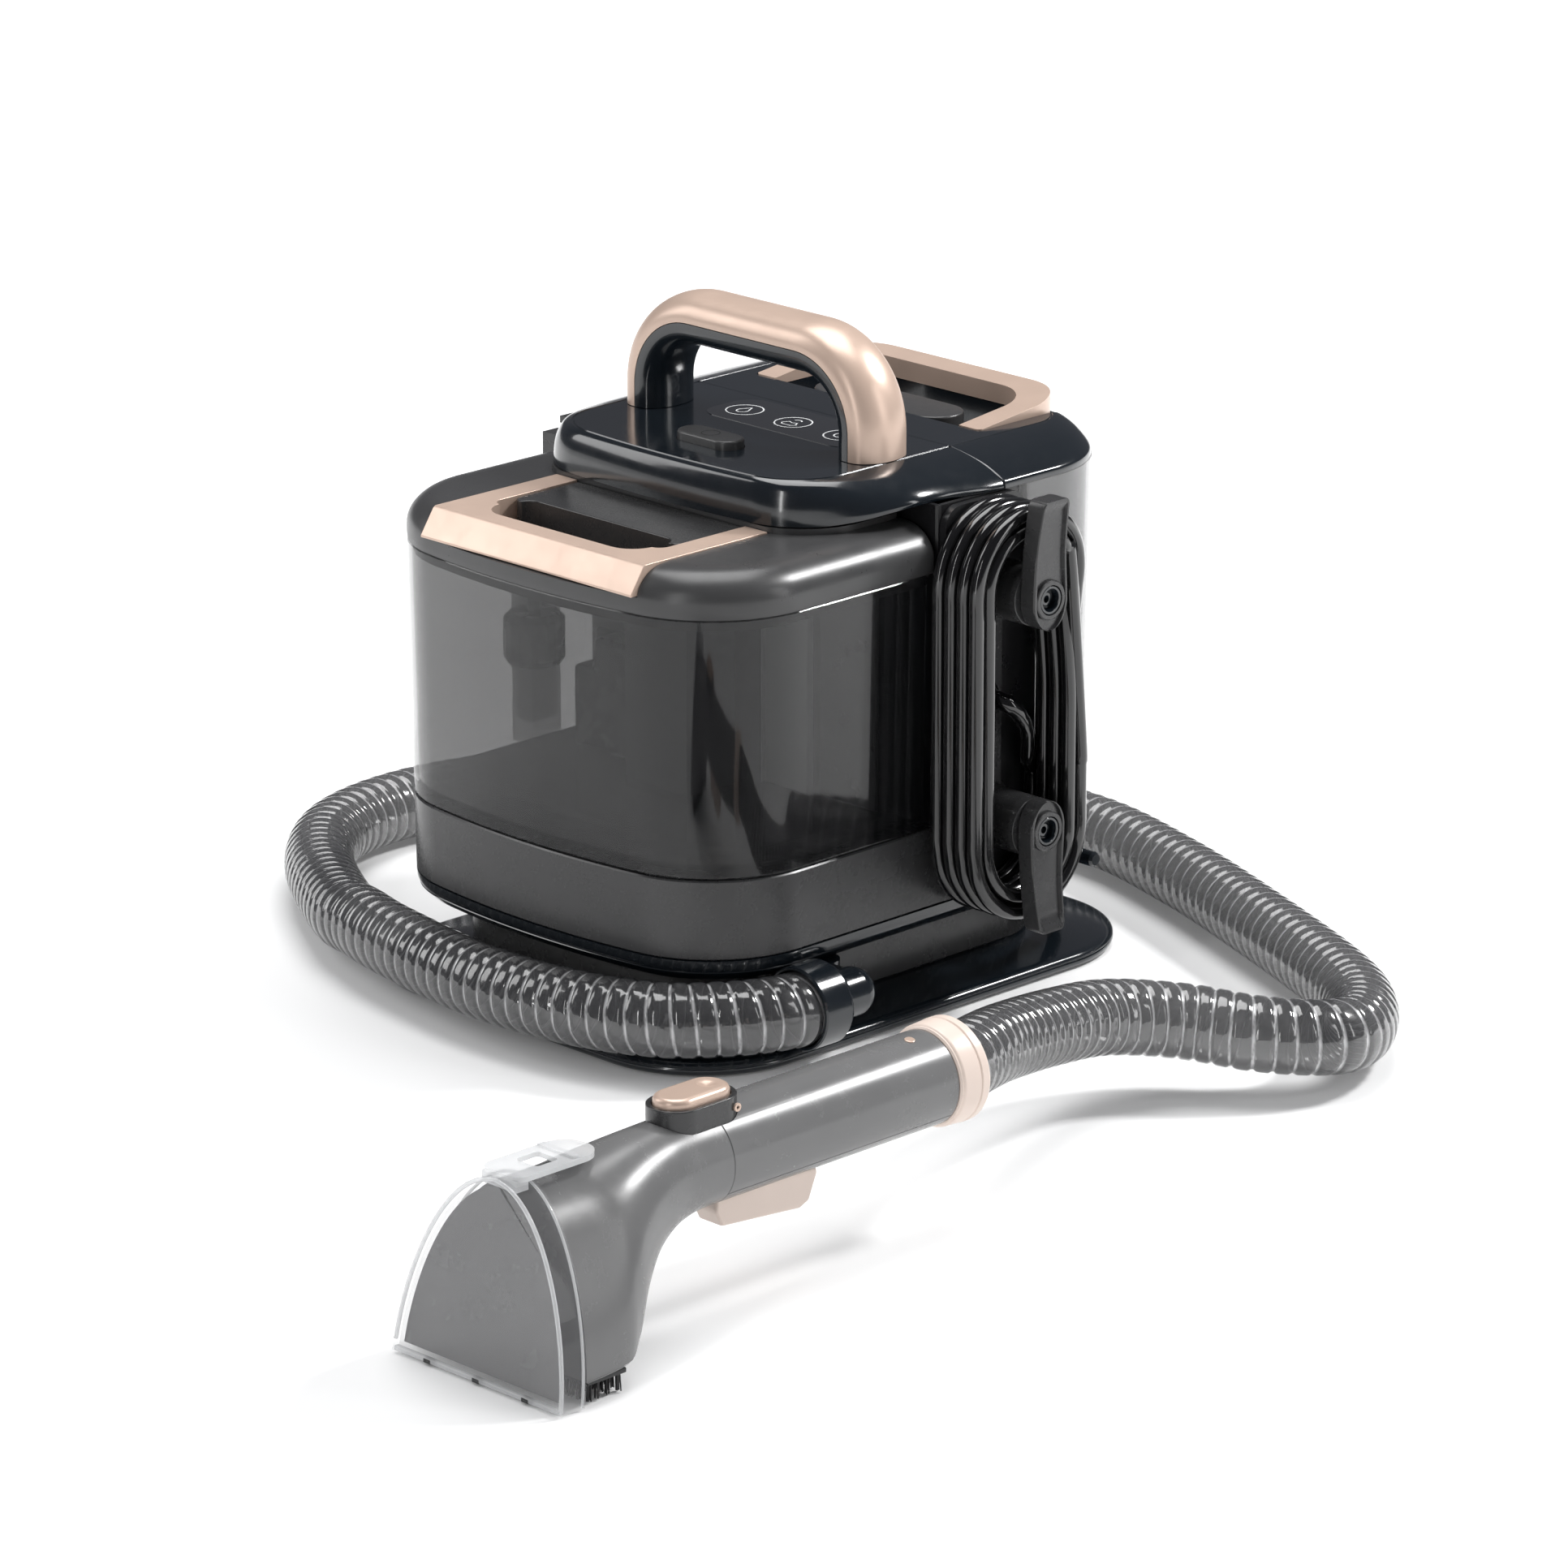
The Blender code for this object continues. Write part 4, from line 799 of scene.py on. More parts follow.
def build_lower_body():
    levels = [(0, 0.0075), (0.001, 0.0058), (0.0035, 0.003), (0.0052, 0.0013), (0.0056, 0.0016),
              (0.006, 0.0012), (0.0085, 0.0002)]
    levels = [(Z_SKIRT + rise, inset) for rise, inset in levels]
    skirt = loft("skirt", plan_rings(levels + [(Z_BODY - 0.0006, 0.0), (Z_BODY - GAP, 0.0005)]))
    place(skirt, "navy", "machine", "lower_skirt", sharp=50)
    tray = loft("tray", plan_rings([(Z_BODY, 0.0006), (Z_BODY + 0.0006, 0.0), (Z_TANK - 0.001, 0.0),
                                    (Z_TANK - GAP, 0.0007)]))
    riser = prism("riser", whole_plan(Z_TANK, 0.0001), Z_TANK - 0.002, Z_CLEAN - GAP)
    cut(riser, box("front", -1, 1, -1, Y_COLUMN_BACK + GAP, 0, 1))
    join(tray, riser)
    place(tray, "charcoal", "machine", "lower_body")


# ---- tanks

def front_slice(z, inset, y_back=Y_FRONT_BACK):
    return at(bowed(half_width(z), -half_depth(z), y_back, CORNER_R, BACK_R, inset), z)


def back_slice(z, inset, y_front=Y_COLUMN_BACK + 2 * GAP):
    outline = bowed(half_width(z), -half_depth(z), -y_front, CORNER_R, BACK_R, inset)
    return at([(x, -y) for x, y in outline], z)


def build_dirty_tank():
    top = Z_LID - GAP
    y_in = Y_FRONT_BACK - WALL
    outside = [(Z_TANK, 0.0012), (Z_TANK + 0.0008, 0.0002), (Z_TANK + 0.0016, 0),
               (top - 0.0005, 0), (top, 0.0004)]
    inside = [(top, WALL - 0.0003, y_in), (Z_TANK + 0.007, WALL, y_in),
              (Z_TANK + 0.0035, WALL + 0.003, y_in - 0.002)]
    rings = [front_slice(*level) for level in outside + inside]
    place(loft("dirty_tank", rings), "tank", "dirty_tank", "dirty_tank_shell")

    plan = bowed(half_width(Z_TANK), -half_depth(Z_TANK) + 0.022, -0.006, 0.045, BACK_R, 0.01)
    raised = [(x * 0.93, y) for x, y in plan]
    floor = loft("tank_floor", [at(raised, Z_TANK + 0.0042), at(raised, Z_TANK + 0.0075)])
    place(softened(floor, 0.0012), "tank", "dirty_tank")
    build_tank_inside()


def build_tank_inside():
    """Baffles and ducts that show as dark and light shapes through the tank wall."""
    foot = Z_TANK + 0.008
    head = 0.214
    duct = box("side_duct", -0.104, -0.09, -0.06, -0.04, foot, 0.215)
    cut(duct, box("way", -0.1025, -0.0915, -0.0585, -0.0415, 0.11, 0.3))
    place(softened(duct, 0.0012), "tank", "dirty_tank")
    block = box("baffle_block", -0.078, -0.03, -0.044, -0.008, foot, 0.156)
    cut(block, box("step", -0.08, -0.064, -0.046, -0.03, 0.14, 0.2))
    place(softened(block, 0.003, 4), "charcoal", "dirty_tank")
    plate = box("light_plate", 0.029, 0.06, -0.0195, -0.0175, foot, head)
    ribs = [box("rib", x, x + 0.0012, -0.0215, -0.019, foot, head) for x in (0.029, 0.0588)]
    join(plate, *ribs)
    place(softened(plate, 0.0004), "light_inner", "dirty_tank")
    wall = box("dark_plate", 0.063, 0.1, -0.016, -0.014, foot, head)
    place(softened(wall, 0.0006), "column", "dirty_tank")


def build_clean_tank():
    top = Z_COVER - GAP
    y_in = Y_COLUMN_BACK + WALL + 2 * GAP
    rings = [back_slice(Z_CLEAN, 0.0012), back_slice(Z_CLEAN + 0.0012, 0), back_slice(top, 0),
             back_slice(top, WALL, y_in), back_slice(Z_CLEAN + 0.003, WALL, y_in)]
    place(loft("clean_tank", rings), "clean", "clean_tank", "clean_tank_shell")


def build_dirty_lid():
    levels = eased([(Z_LID, 0.0003), (0.22, 0.0), (0.226, 0.0004), (0.231, 0.003), (0.235, 0.0075),
                    (0.2372, 0.013), (Z_LID_TOP, 0.02)], 3)
    rings = [at(bowed(HALF_W, -HALF_D, Y_FRONT_BACK, CORNER_R, BACK_R, max(0.0, i)), z) for z, i in levels]
    lid = loft("lid", rings)
    pad_plan = rounded(-0.0955, 0.0955, -0.0612, 0.004, (0.038, 0.038, 0.003, 0.003))
    pad = prism("pad", pad_plan, 0.23, 0.2408)
    join(lid, pad)
    pocket = rounded(-TRIM_X - GAP, TRIM_X + GAP, -0.2, TRIM_Y1 + GAP, (0.0003,) * 4, 1)
    hole = [(0, STEM_HOLE_R), (0.05, STEM_HOLE_R)]
    cut(lid, turned("stem_way", hole, (*FLOAT_STEM, 0.185), Z_AXIS, 24))
    cut(lid, prism("pocket", pocket, 0.2245, 0.3),
        prism("well", stadium(0.106, 0.03, 0, SLOT_Y), Z_LID + 0.0025, 0.3))
    place(lid, "charcoal_lid", "dirty_tank", "dirty_tank_lid", sharp=30)
    guide = box("guide", -0.088, -0.05, -0.096, -0.058, 0.198, Z_LID)
    cut(guide, turned("bore", hole, (*FLOAT_STEM, 0.19), Z_AXIS, 24))
    place(softened(guide, 0.0015), "charcoal", "dirty_tank")

    low, high = 0.225, Z_LID_TOP + 0.0008
    side = [(-0.1466, low), (-0.1466, low + 0.001), (-0.1386, high - 0.001), (-0.1372, high),
            (TRIM_Y1, high), (TRIM_Y1, low)]
    trim = loft("trim", [upright(side, x) for x in (-TRIM_X, TRIM_X)])
    bay = rounded(-0.057, 0.057, SLOT_Y - 0.0015, 0.1, (0.006, 0.006, 0.002, 0.002), 8)
    cut(trim, prism("slot", stadium(0.104, 0.028, 0, SLOT_Y), 0.2, 0.3), prism("bay", bay, 0.2, 0.3))
    place(softened(trim, 0.0007), "rose", "dirty_tank", "tank_grip_trim")

    plate = rounded(-0.0565, 0.0565, SLOT_Y + 0.011, TRIM_Y1 - GAP, (0.006, 0.006, 0.002, 0.002), 8)
    latch = prism("latch", plate, 0.2252, Z_LID_TOP)
    cut(latch, prism("notch", stadium(0.1, 0.014, 0, SLOT_Y + 0.0095), 0.2, 0.3))
    place(softened(latch, 0.0008), "charcoal", "tank_latch", "tank_latch")


# ---- top

# From the lower rim up: half width at the seam and at the front, height at the seam
# and at the front, front edge, corner radius
COVER_LEVELS = [(0.12, 0.0968, 0.248, 0.2415, -0.063, 0.04),
                (0.1196, 0.0967, 0.2505, 0.245, -0.0629, 0.04),
                (0.114, 0.0958, 0.2545, 0.2515, -0.0622, 0.039),
                (0.105, 0.0938, 0.258, 0.2565, -0.061, 0.038),
                (0.095, 0.0905, 0.2605, 0.2602, -0.0594, 0.036),
                (0.086, 0.0857, 0.2619, 0.2619, -0.0572, 0.0327)]
# Groove round the flat panel, then the panel itself
GROOVE_LEVELS = [(0.0853, 0.0853, 0.26145, 0.26145, -0.0569, 0.0324),
                 (0.0844, 0.0844, 0.26145, 0.26145, -0.056, 0.0315),
                 (0.084, 0.084, 0.262, 0.262, -0.0556, 0.0311)]
COVER_SIDE = (-0.048, Y_FRONT_BACK)      # where the sides widen and rise, front to back
COVER_SIDE_STEPS = 8


def cover_ring(wide, narrow, z_seam, z_front, front, r):
    """Section of the top cover, narrower and hanging lower at the front than at the seam."""
    nose = bowed(narrow, front, 0.0, r, 0.001, 0.0, 0.6)[:-14]
    start, end = COVER_SIDE
    back = Y_SEAM - GAP
    corner = nose[-1][1]
    ys = [corner + (end - corner) * k / COVER_SIDE_STEPS for k in range(1, COVER_SIDE_STEPS + 1)]
    ys += [end + (back - end) * k / 6 for k in range(1, 7)]
    plan = nose + [(narrow, y) for y in ys] + [(-narrow, y) for y in reversed(ys)]
    ring = []
    for x, y in plan:
        first = smooth((y - start) / (end - start))
        second = smooth((y - end) / (back - end))
        wider = (wide - narrow) * (0.65 * first + 0.35 * second) * x / narrow
        ring.append(Vector((x + wider, y, z_front + (z_seam - z_front) * first)))
    return ring


def eased_levels(levels, steps):
    """Like eased, for rows of any number of values."""
    rows = []
    for i in range(len(levels) - 1):
        a = levels[max(0, i - 1)]
        b, c = levels[i], levels[i + 1]
        d = levels[min(len(levels) - 1, i + 2)]
        for k in range(steps):
            rows.append([between(*four, k / steps) for four in zip(a, b, c, d)])
    rows.append(levels[-1])
    return rows


def build_top_cover():
    rings = [cover_ring(0.118, 0.0945, 0.2478, 0.2478, -0.0605, 0.038)]
    rings += [cover_ring(*level) for level in eased_levels(COVER_LEVELS, 4)]
    rings += [cover_ring(*level) for level in GROOVE_LEVELS]
    cover = loft("cover", rings)
    cut(cover, prism("well", stadium(0.0392, 0.0172, 0, BUTTON_Y), 0.257, 0.3))
    place(cover, "navy", "machine", "top_cover", sharp=30)
    glass = rounded(-0.0455, 0.0555, 0.0088, 0.0452, (0.012,) * 4, 12)
    panel = prism("panel", glass, 0.2614, Z_TOP + 0.0002)
    place(softened(panel, 0.00015, 2), "panel", "machine", "control_panel")
    build_glyphs()

    levels = [(0.259, 0.0), (0.2652, 0.0), (0.266, 0.0004), (0.2664, 0.0012)]
    button = loft("button", stadium_rings(0.0384, 0.0164, BUTTON_Y, levels))
    place(button, "charcoal_lid", "power_button", "power_button")
    build_button_spring()
    flat_ring("button_mark", (0, BUTTON_Y), 0.2665, 0.0042, 0.0047, "engraved", "power_button")


def flat_ring(name, centre, z, inner, outer, look, body, start=0, end=360):
    steps = 48
    points = []
    for i in range(steps + 1):
        t = math.radians(start + (end - start) * i / steps)
        for r in (inner, outer):
            points.append((centre[0] + r * math.cos(t), centre[1] + r * math.sin(t), z))
    faces = [(2 * i, 2 * i + 1, 2 * i + 3, 2 * i + 2) for i in range(steps)]
    return place(mesh_object(name, points, faces), look, body, sharp=None)


def stroke(name, points, z, width, look, body):
    """A flat line of even width through the points."""
    left = []
    right = []
    for i, (x, y) in enumerate(points):
        x0, y0 = points[max(0, i - 1)]
        x1, y1 = points[min(len(points) - 1, i + 1)]
        length = math.hypot(x1 - x0, y1 - y0)
        nx, ny = -(y1 - y0) / length * width / 2, (x1 - x0) / length * width / 2
        left.append((x + nx, y + ny, z))
        right.append((x - nx, y - ny, z))
    n = len(points)
    faces = [(i, i + 1, n + i + 1, n + i) for i in range(n - 1)]
    return place(mesh_object(name, left + right, faces), look, body, sharp=None)


def build_button_spring():
    """Coil spring under the power button, built at one length; the real one shortens as the button goes
    down.
    """
    turns = 4
    steps = 28 * turns
    path = []
    for i in range(steps + 1):
        t = 2 * math.pi * i * turns / steps
        path.append(Vector((SPRING_R * math.cos(t), BUTTON_Y + SPRING_R * math.sin(t),
                            0.2543 + 0.004 * i / steps)))
    spring = place(tube("coil_spring", path, 0.0005, 8), "steel", "machine", "button_spring", sharp=None)
    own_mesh(spring)


def build_glyphs():
    z = Z_TOP + 0.0003
    ink = "print"
    for index, x in enumerate((-0.03, 0.003, 0.036)):
        flat_ring("icon_ring_" + str(index), (x, 0.026), z, 0.0088, 0.0095, ink, "machine")
    drop = arc(-0.03, 0.0245, 0.003, 150, 390, 16)
    stroke("icon_drop", [(-0.03, 0.031)] + drop + [(-0.03, 0.031)], z, 0.0007, ink, "machine")
    cloth = [(-0.0015, 0.023), (0.0, 0.021), (0.006, 0.021), (0.0075, 0.023), (0.0055, 0.0262),
             (0.003, 0.025), (0.0005, 0.0262), (-0.0015, 0.023)]
    stroke("icon_cloth", cloth, z, 0.0007, ink, "machine")
    stroke("icon_puff", arc(0.003, 0.0285, 0.0024, 20, 160, 10), z, 0.0007, ink, "machine")
    flat_ring("icon_power", (0.036, 0.0255), z, 0.0034, 0.0041, ink, "machine", 120, 420)
    stroke("icon_power_bar", [(0.036, 0.0255), (0.036, 0.0308)], z, 0.0007, ink, "machine")


def handle_frames():
    foot = Z_TOP + GAP
    frames = [((-HANDLE_X, foot), (-1, 0)), ((-HANDLE_X, (foot + HANDLE_Z - HANDLE_BEND) / 2), (-1, 0)),
              ((-HANDLE_X, HANDLE_Z - HANDLE_BEND), (-1, 0))]
    for i in range(1, 24):
        t = math.radians(180 - 90 * i / 24)
        frames.append(((-HANDLE_X + HANDLE_BEND * (1 + math.cos(t)),
                        HANDLE_Z - HANDLE_BEND * (1 - math.sin(t))), (math.cos(t), math.sin(t))))
    frames.append(((-HANDLE_X + HANDLE_BEND, HANDLE_Z), (0, 1)))
    return frames + [((-x, z), (-nx, nz)) for (x, z), (nx, nz) in reversed(frames)]


def build_handle():
    outer = [(HANDLE_HALF_DEPTH * math.cos(t), 0.0002 + HANDLE_OUTER * math.sin(t) ** 0.85)
             for t in (math.radians(a) for a in range(0, 181, 6))]
    inner = [(HANDLE_HALF_DEPTH * math.cos(t), -0.0002 - HANDLE_INNER * math.sin(t) ** 0.7)
             for t in (math.radians(a) for a in range(0, 181, 6))]
    for name, section, look, node in (("handle_shell", outer, "rose", "handle_upper"),
                                      ("handle_grip", inner, "navy", "handle_lower")):
        rings = []
        for (x, z), (nx, nz) in handle_frames():
            rings.append([Vector((x + v * nx, HANDLE_Y + u, z + v * nz)) for u, v in section])
        place(loft(name, rings), look, "machine", node, sharp=45)


def build_clean_lid():
    def ring(z, side, back):
        outline = bowed(HALF_W - side, -(HALF_D - back), -Y_SEAM, max(0.02, CORNER_R - side), 0.0015)
        return at([(x, -y) for x, y in outline], z)

    # Height, then how far the sides and the back are drawn in
    levels = eased([(Z_COVER, 0.0, 0.0), (0.25, 0.0001, 0.0001), (0.2518, 0.001, 0.0006),
                    (0.2545, 0.006, 0.002), (0.258, 0.015, 0.0045), (0.2605, 0.025, 0.0075),
                    (0.26185, 0.033, 0.0105)], 3)
    levels += [Vector((0.26195, 0.0343, 0.0116)), Vector((0.2615, 0.0346, 0.0119)),
               Vector((0.2615, 0.0353, 0.0126)), Vector((0.262, 0.0356, 0.0129))]
    lid = loft("clean_lid", [ring(*level) for level in levels])
    seat = rounded(-0.076, 0.076, 0.078, 0.2, (0.0025, 0.0025, 0.004, 0.004), 3)
    recess = rounded(-0.062, 0.062, 0.0795, 0.1325, (0.003, 0.003, 0.01, 0.01), 10)
    cut(lid, prism("seat", seat, 0.2585, 0.3), prism("recess", recess, 0.2512, 0.3))
    place(lid, "navy", "clean_tank", "clean_tank_lid", sharp=30)

    outline = rounded(-0.0757, 0.0757, 0.0783, 0.1455, (0.003, 0.003, 0.03, 0.03), 14)
    high = [Vector((x, y, 0.2625 + 0.007 * smooth((y - 0.0783) / 0.067))) for x, y in outline]
    grip = loft("grip", [at(outline, 0.2588), high])
    bay = rounded(-0.0622, 0.0622, 0.0, 0.131, (0.003, 0.003, 0.022, 0.022), 16)
    cut(grip, prism("bay", bay, 0.2, 0.3))
    place(softened(grip, 0.0016, 5), "rose", "clean_tank", "tank_grip_ring")

    levels = [(0.2515, 0.0004), (0.252, 0.0), (0.26, 0.0), (0.2608, 0.0004), (0.2612, 0.0012)]
    cap = loft("cap", stadium_rings(0.09, 0.028, CAP_Y, levels))
    place(cap, "charcoal_lid", "filler_cap", "filler_cap")


# ---- cord wrap fittings

def lever_rings(pivot_z, direction):
    """Sections of a hook lever: a raised rim round a shallow recess, flaring to its tip."""
    foot = HOOK_HALF_W + 0.003
    spans = [-math.cos(math.radians(a)) for a in range(4, 88, 6)]
    stations = [(s * foot, HOOK_HALF_W * math.sqrt(1 - s * s)) for s in spans]
    stations += [(f * LEVER, HOOK_HALF_W * (1 - 0.26 * f)) for f in
                 (0.1, 0.2, 0.32, 0.45, 0.58, 0.7, 0.8, 0.88, 0.94)]
    stations += [(LEVER * 0.975, HOOK_HALF_W * 0.68), (LEVER * 0.993, HOOK_HALF_W * 0.6),
                 (LEVER, HOOK_HALF_W * 0.5)]
    rings = []
    for h, w in stations:
        flare = 0.0045 * max(0.0, h / LEVER - 0.35) ** 1.5
        x0 = HOOK_X0 + flare
        x1 = HOOK_X0 + HOOK_T + flare * 1.6
        z = pivot_z + direction * h
        floor = x1 - 0.0016 * smooth((LEVER * 0.96 - h) / 0.003)
        section = [(x0, -0.95), (x0 + 0.001, -1.0), (x1 - 0.0008, -0.99), (x1, -0.94), (x1, -0.84),
                   (floor, -0.78), (floor, 0.78), (x1, 0.84), (x1, 0.94), (x1 - 0.0008, 0.99),
                   (x0 + 0.001, 1.0), (x0, 0.95)]
        rings.append([Vector((x, WRAP_Y + w * f, z)) for x, f in section])
    return rings


def build_wrap():
    half = (Y_COLUMN_BACK - Y_COLUMN_FRONT) / 2 - 0.0005
    middle = (Y_COLUMN_BACK + Y_COLUMN_FRONT) / 2
    outline = rounded(middle - half, middle + half, 0.06, Z_COVER - 0.001, (0.004, 0.004, 0.01, 0.01), 8)
    inner_face = COIL_X0 - GAP
    panel = loft("wrap_panel", [upright(outline, x) for x in (WRAP_X, inner_face)])
    flange = [(y, z) for z, y in stadium(0.16, 0.069, CORD_EXIT_Z, WRAP_Y, 30)]
    join(panel, loft("flange", [upright(flange, x) for x in (0.1212, inner_face)]))
    place(softened(panel, 0.0004), "column", "machine", "cord_panel")
    bar = loft("bar", [[Vector((x, WRAP_Y + y, z)) for y, z in
                        ((-w, 0.104), (w, 0.104), (w, 0.198), (-w, 0.198))] for x, w in
                       ((inner_face, 0.01), (COIL_X0 + 0.002, 0.0092))])
    exit_at = (COIL_X0, WRAP_Y, CORD_EXIT_Z)
    cut(bar, turned("exit", [(-0.01, 0.0075), (0.02, 0.0075)], exit_at, X_AXIS, 40))
    place(softened(bar, 0.0008), "charcoal", "machine")
    build_hook("upper", UPPER_PIVOT_Z, 1)
    build_hook("lower", LOWER_PIVOT_Z, -1)


def build_hook(name, pivot_z, direction):
    """One post of the wrap, the lever that turns on it and the lever's pin."""
    reach = POST_END - COIL_X0
    post = turned(name + "_post", [(0, POST_R + 0.003), (0.0015, POST_R + 0.0012), (0.004, POST_R),
                                   (reach, POST_R), (reach + 0.0004, POST_R - 0.0006)],
                  (COIL_X0 - GAP, WRAP_Y, pivot_z), X_AXIS)
    place(post, "charcoal", "machine")
    lever = loft(name + "_lever", lever_rings(pivot_z, direction))
    bush = turned("bush", [(0.0, 0.01), (HOOK_T - 0.0004, 0.0096), (HOOK_T, 0.009)],
                  (HOOK_X0 + 0.0002, WRAP_Y, pivot_z), X_AXIS, 48)
    join(lever, bush)
    bore = [(-0.01, 0.0073), (0.03, 0.0073)]
    cut(lever, turned("bore", bore, (HOOK_X0, WRAP_Y, pivot_z), X_AXIS, 48))
    place(lever, "charcoal", name + "_cord_hook", name + "_cord_hook", sharp=32)
    length = HOOK_T + 0.0004
    # Distance below the pin's outer end, and radius: rim, bowl, and a small blind hole
    head = [(0.0004, 0.007), (0, 0.0066), (0, 0.0056), (0.0006, 0.0052), (0.0042, 0.005),
            (0.0044, 0.0032), (0.003, 0.003), (0.003, 0.0018), (0.0052, 0.0016), (0.0052, 0.0002)]
    profile = [(0, 0.0068)] + [(length - depth, r) for depth, r in head] + [(0, 0.0002)]
    pin = pipe(name + "_pin", profile, (POST_END + 0.0001, WRAP_Y, pivot_z), X_AXIS, 40)
    place(pin, "navy", "machine", name + "_hook_pin")


# ---- hose fittings

def build_hose_fittings():
    start = Vector(HOSE_ROUTE[0])
    axis = (start - ELBOW).normalized()
    reach = (start - ELBOW).length
    turns = [math.radians(a) for a in range(4, 91, 8)]
    dome = [(-ELBOW_R * math.cos(t), ELBOW_R * math.sin(t)) for t in turns]
    elbow = turned("elbow", dome + [(reach - 0.01, ELBOW_R)], ELBOW, axis, 48)
    arm = turned("arm", [(0, 0.0108), (ELBOW.x - RISER_X + 0.004, 0.0108)],
                 (RISER_X - 0.004, ELBOW.y, ELBOW.z - 0.0006), X_AXIS, 48)
    riser = turned("riser", [(0, 0.01), (Z_SKIRT - GAP - ELBOW.z, 0.01)],
                   (RISER_X + 0.0055, ELBOW.y, ELBOW.z), Z_AXIS, 48)
    join(elbow, arm, riser)
    place(elbow, "navy", "machine", "hose_elbow")
    socket = HOSE_D / 2 + 0.0004
    cuff = pipe("cuff", [(-0.01, 0.012), (-0.01, 0.0172), (-0.0092, 0.0186),
                         (-0.0075, CUFF_R - 0.0006), (-0.0065, CUFF_R), (0.0092, CUFF_R),
                         (0.01, CUFF_R - 0.0006), (0.01, socket + 0.0004), (0.0094, socket),
                         (-0.0006, socket)], start, axis)
    place(cuff, "navy", "machine", "hose_cuff", sharp=30)


# ---- hand tool

ARCH_STEPS = 26


def arch_half_width(fraction):
    return NOZZLE_HALF_W * math.sqrt(max(0.0, 1 - fraction ** 1.7))


def arch_outline(grow=0.0, height=NOZZLE_H):
    """Nozzle outline from its bottom left corner round: (x, height) pairs."""
    outline = [((NOZZLE_HALF_W + grow) * k / 4, -grow) for k in range(-4, 5)]
    right = []
    for k in range(1, ARCH_STEPS):
        fraction = math.sin(math.radians(90 * k / ARCH_STEPS))
        right.append((arch_half_width(fraction) + grow, fraction * (height + grow)))
    outline += right
    outline.append((0.0, height + grow))
    outline += [(-x, s) for x, s in reversed(right)]
    return outline


def leaned(outline, depth, lift=0.0005):
    ring = []
    for x, s in outline:
        y = NOZZLE_LIP_Y + s * math.sin(NOZZLE_LEAN) + depth
        ring.append(Vector((TOOL_X + x, y, lift + s * math.cos(NOZZLE_LEAN))))
    return ring


def across(half):
    """From one side of the tool's middle to the other."""
    return TOOL_X - half, TOOL_X + half


def build_nozzle_cover():
    skin = ((-0.0012, 0.0), (-0.0003, 0.0004), (0.0, 0.0014), (0.0, NOZZLE_DEPTH))
    cover = loft("clear_cover", [leaned(arch_outline(grow), depth) for grow, depth in skin])
    inner = [(x, s if s > 0.003 else -0.01) for x, s in arch_outline(-0.0024)]
    cut(cover, loft("hollow", [leaned(inner, 0.0022), leaned(inner, 0.03)]))
    place(cover, "clear", "nozzle_cover", "nozzle_cover", sharp=30)
    # Thin pale tubes along the cover's front and back edges: painted highlights standing for the bright
    # edges of the clear plastic.
    rim = [Vector(p) for p in leaned(arch_outline(-0.0011), 0.0011)[8:]]
    place(tube("cover_edge_highlight", rim, 0.001), "pale_clear_and_edge_highlight", "nozzle_cover", sharp=None)
    back = [Vector(p) for p in leaned(arch_outline(-0.0008), NOZZLE_DEPTH - 0.001)[8:]]
    place(tube("cover_back_edge_highlight", back, 0.0007), "pale_clear_and_edge_highlight", "nozzle_cover", sharp=None)
    plan = rounded(*across(0.0125), -0.449, -0.399, (0.007, 0.007, 0.012, 0.012), 12)
    tab = prism("tab", plan, 0.088, 0.0902)
    slot = rounded(*across(0.0065), -0.433, -0.4205, (0.002,) * 4, 6)
    cut(tab, prism("tab_slot", slot, 0.08, 0.1))
    web = box("web", *across(0.0105), -0.4485, -0.4415, 0.0835, 0.0886)
    ridge = box("ridge", *across(0.011), -0.4165, -0.413, 0.0895, 0.0914)
    join(tab, web, ridge)
    place(softened(tab, 0.0007), "pale_clear_and_edge_highlight", "nozzle_cover")
    lip = box("lip", *across(0.0505), NOZZLE_LIP_Y + 0.0004, NOZZLE_LIP_Y + 0.003, 0.0008, 0.003)
    place(softened(lip, 0.0005), "pale_clear_and_edge_highlight", "nozzle_cover")
    for x in (-0.03, 0.0, 0.03):
        clip = box("lip_clip", TOOL_X + x - 0.0022, TOOL_X + x + 0.0022, NOZZLE_LIP_Y + 0.0002,
                   NOZZLE_LIP_Y + 0.0036, 0.0006, 0.0026)
        place(softened(clip, 0.0004), "column", "nozzle_cover")

    # Face plate of the nozzle, close behind the clear cover
    plate_shape = [(x, max(0.0035, h)) for x, h in arch_outline(-0.004)]
    plate = loft("face_plate", [leaned(plate_shape, 0.0034), leaned(plate_shape, 0.0052)])
    place(plate, "tool", "machine", sharp=30)


def nozzle_ring(y, centre_z, half_x, half_z, blend):
    """Section of the nozzle body, from round at the barrel to the arch at its face."""
    arch = arch_outline(0.0, NOZZLE_H * 0.95)
    count = len(arch)
    angles = [-130 + 10 * k for k in range(9)]
    rest = count - 9
    angles += [-50 + 280 * (k + 1) / (rest + 1) for k in range(rest)]
    ring = []
    for (ax, az), angle in zip(arch, angles):
        t = math.radians(angle)
        ex, ez = half_x * math.cos(t), centre_z + half_z * math.sin(t)
        az = max(0.011, az)
        x = ex + (ax * 0.995 - ex) * blend
        z = ez + (az - ez) * blend
        ring.append(Vector((TOOL_X + x, y + math.tan(NOZZLE_LEAN) * blend * (z - 0.045), z)))
    return ring


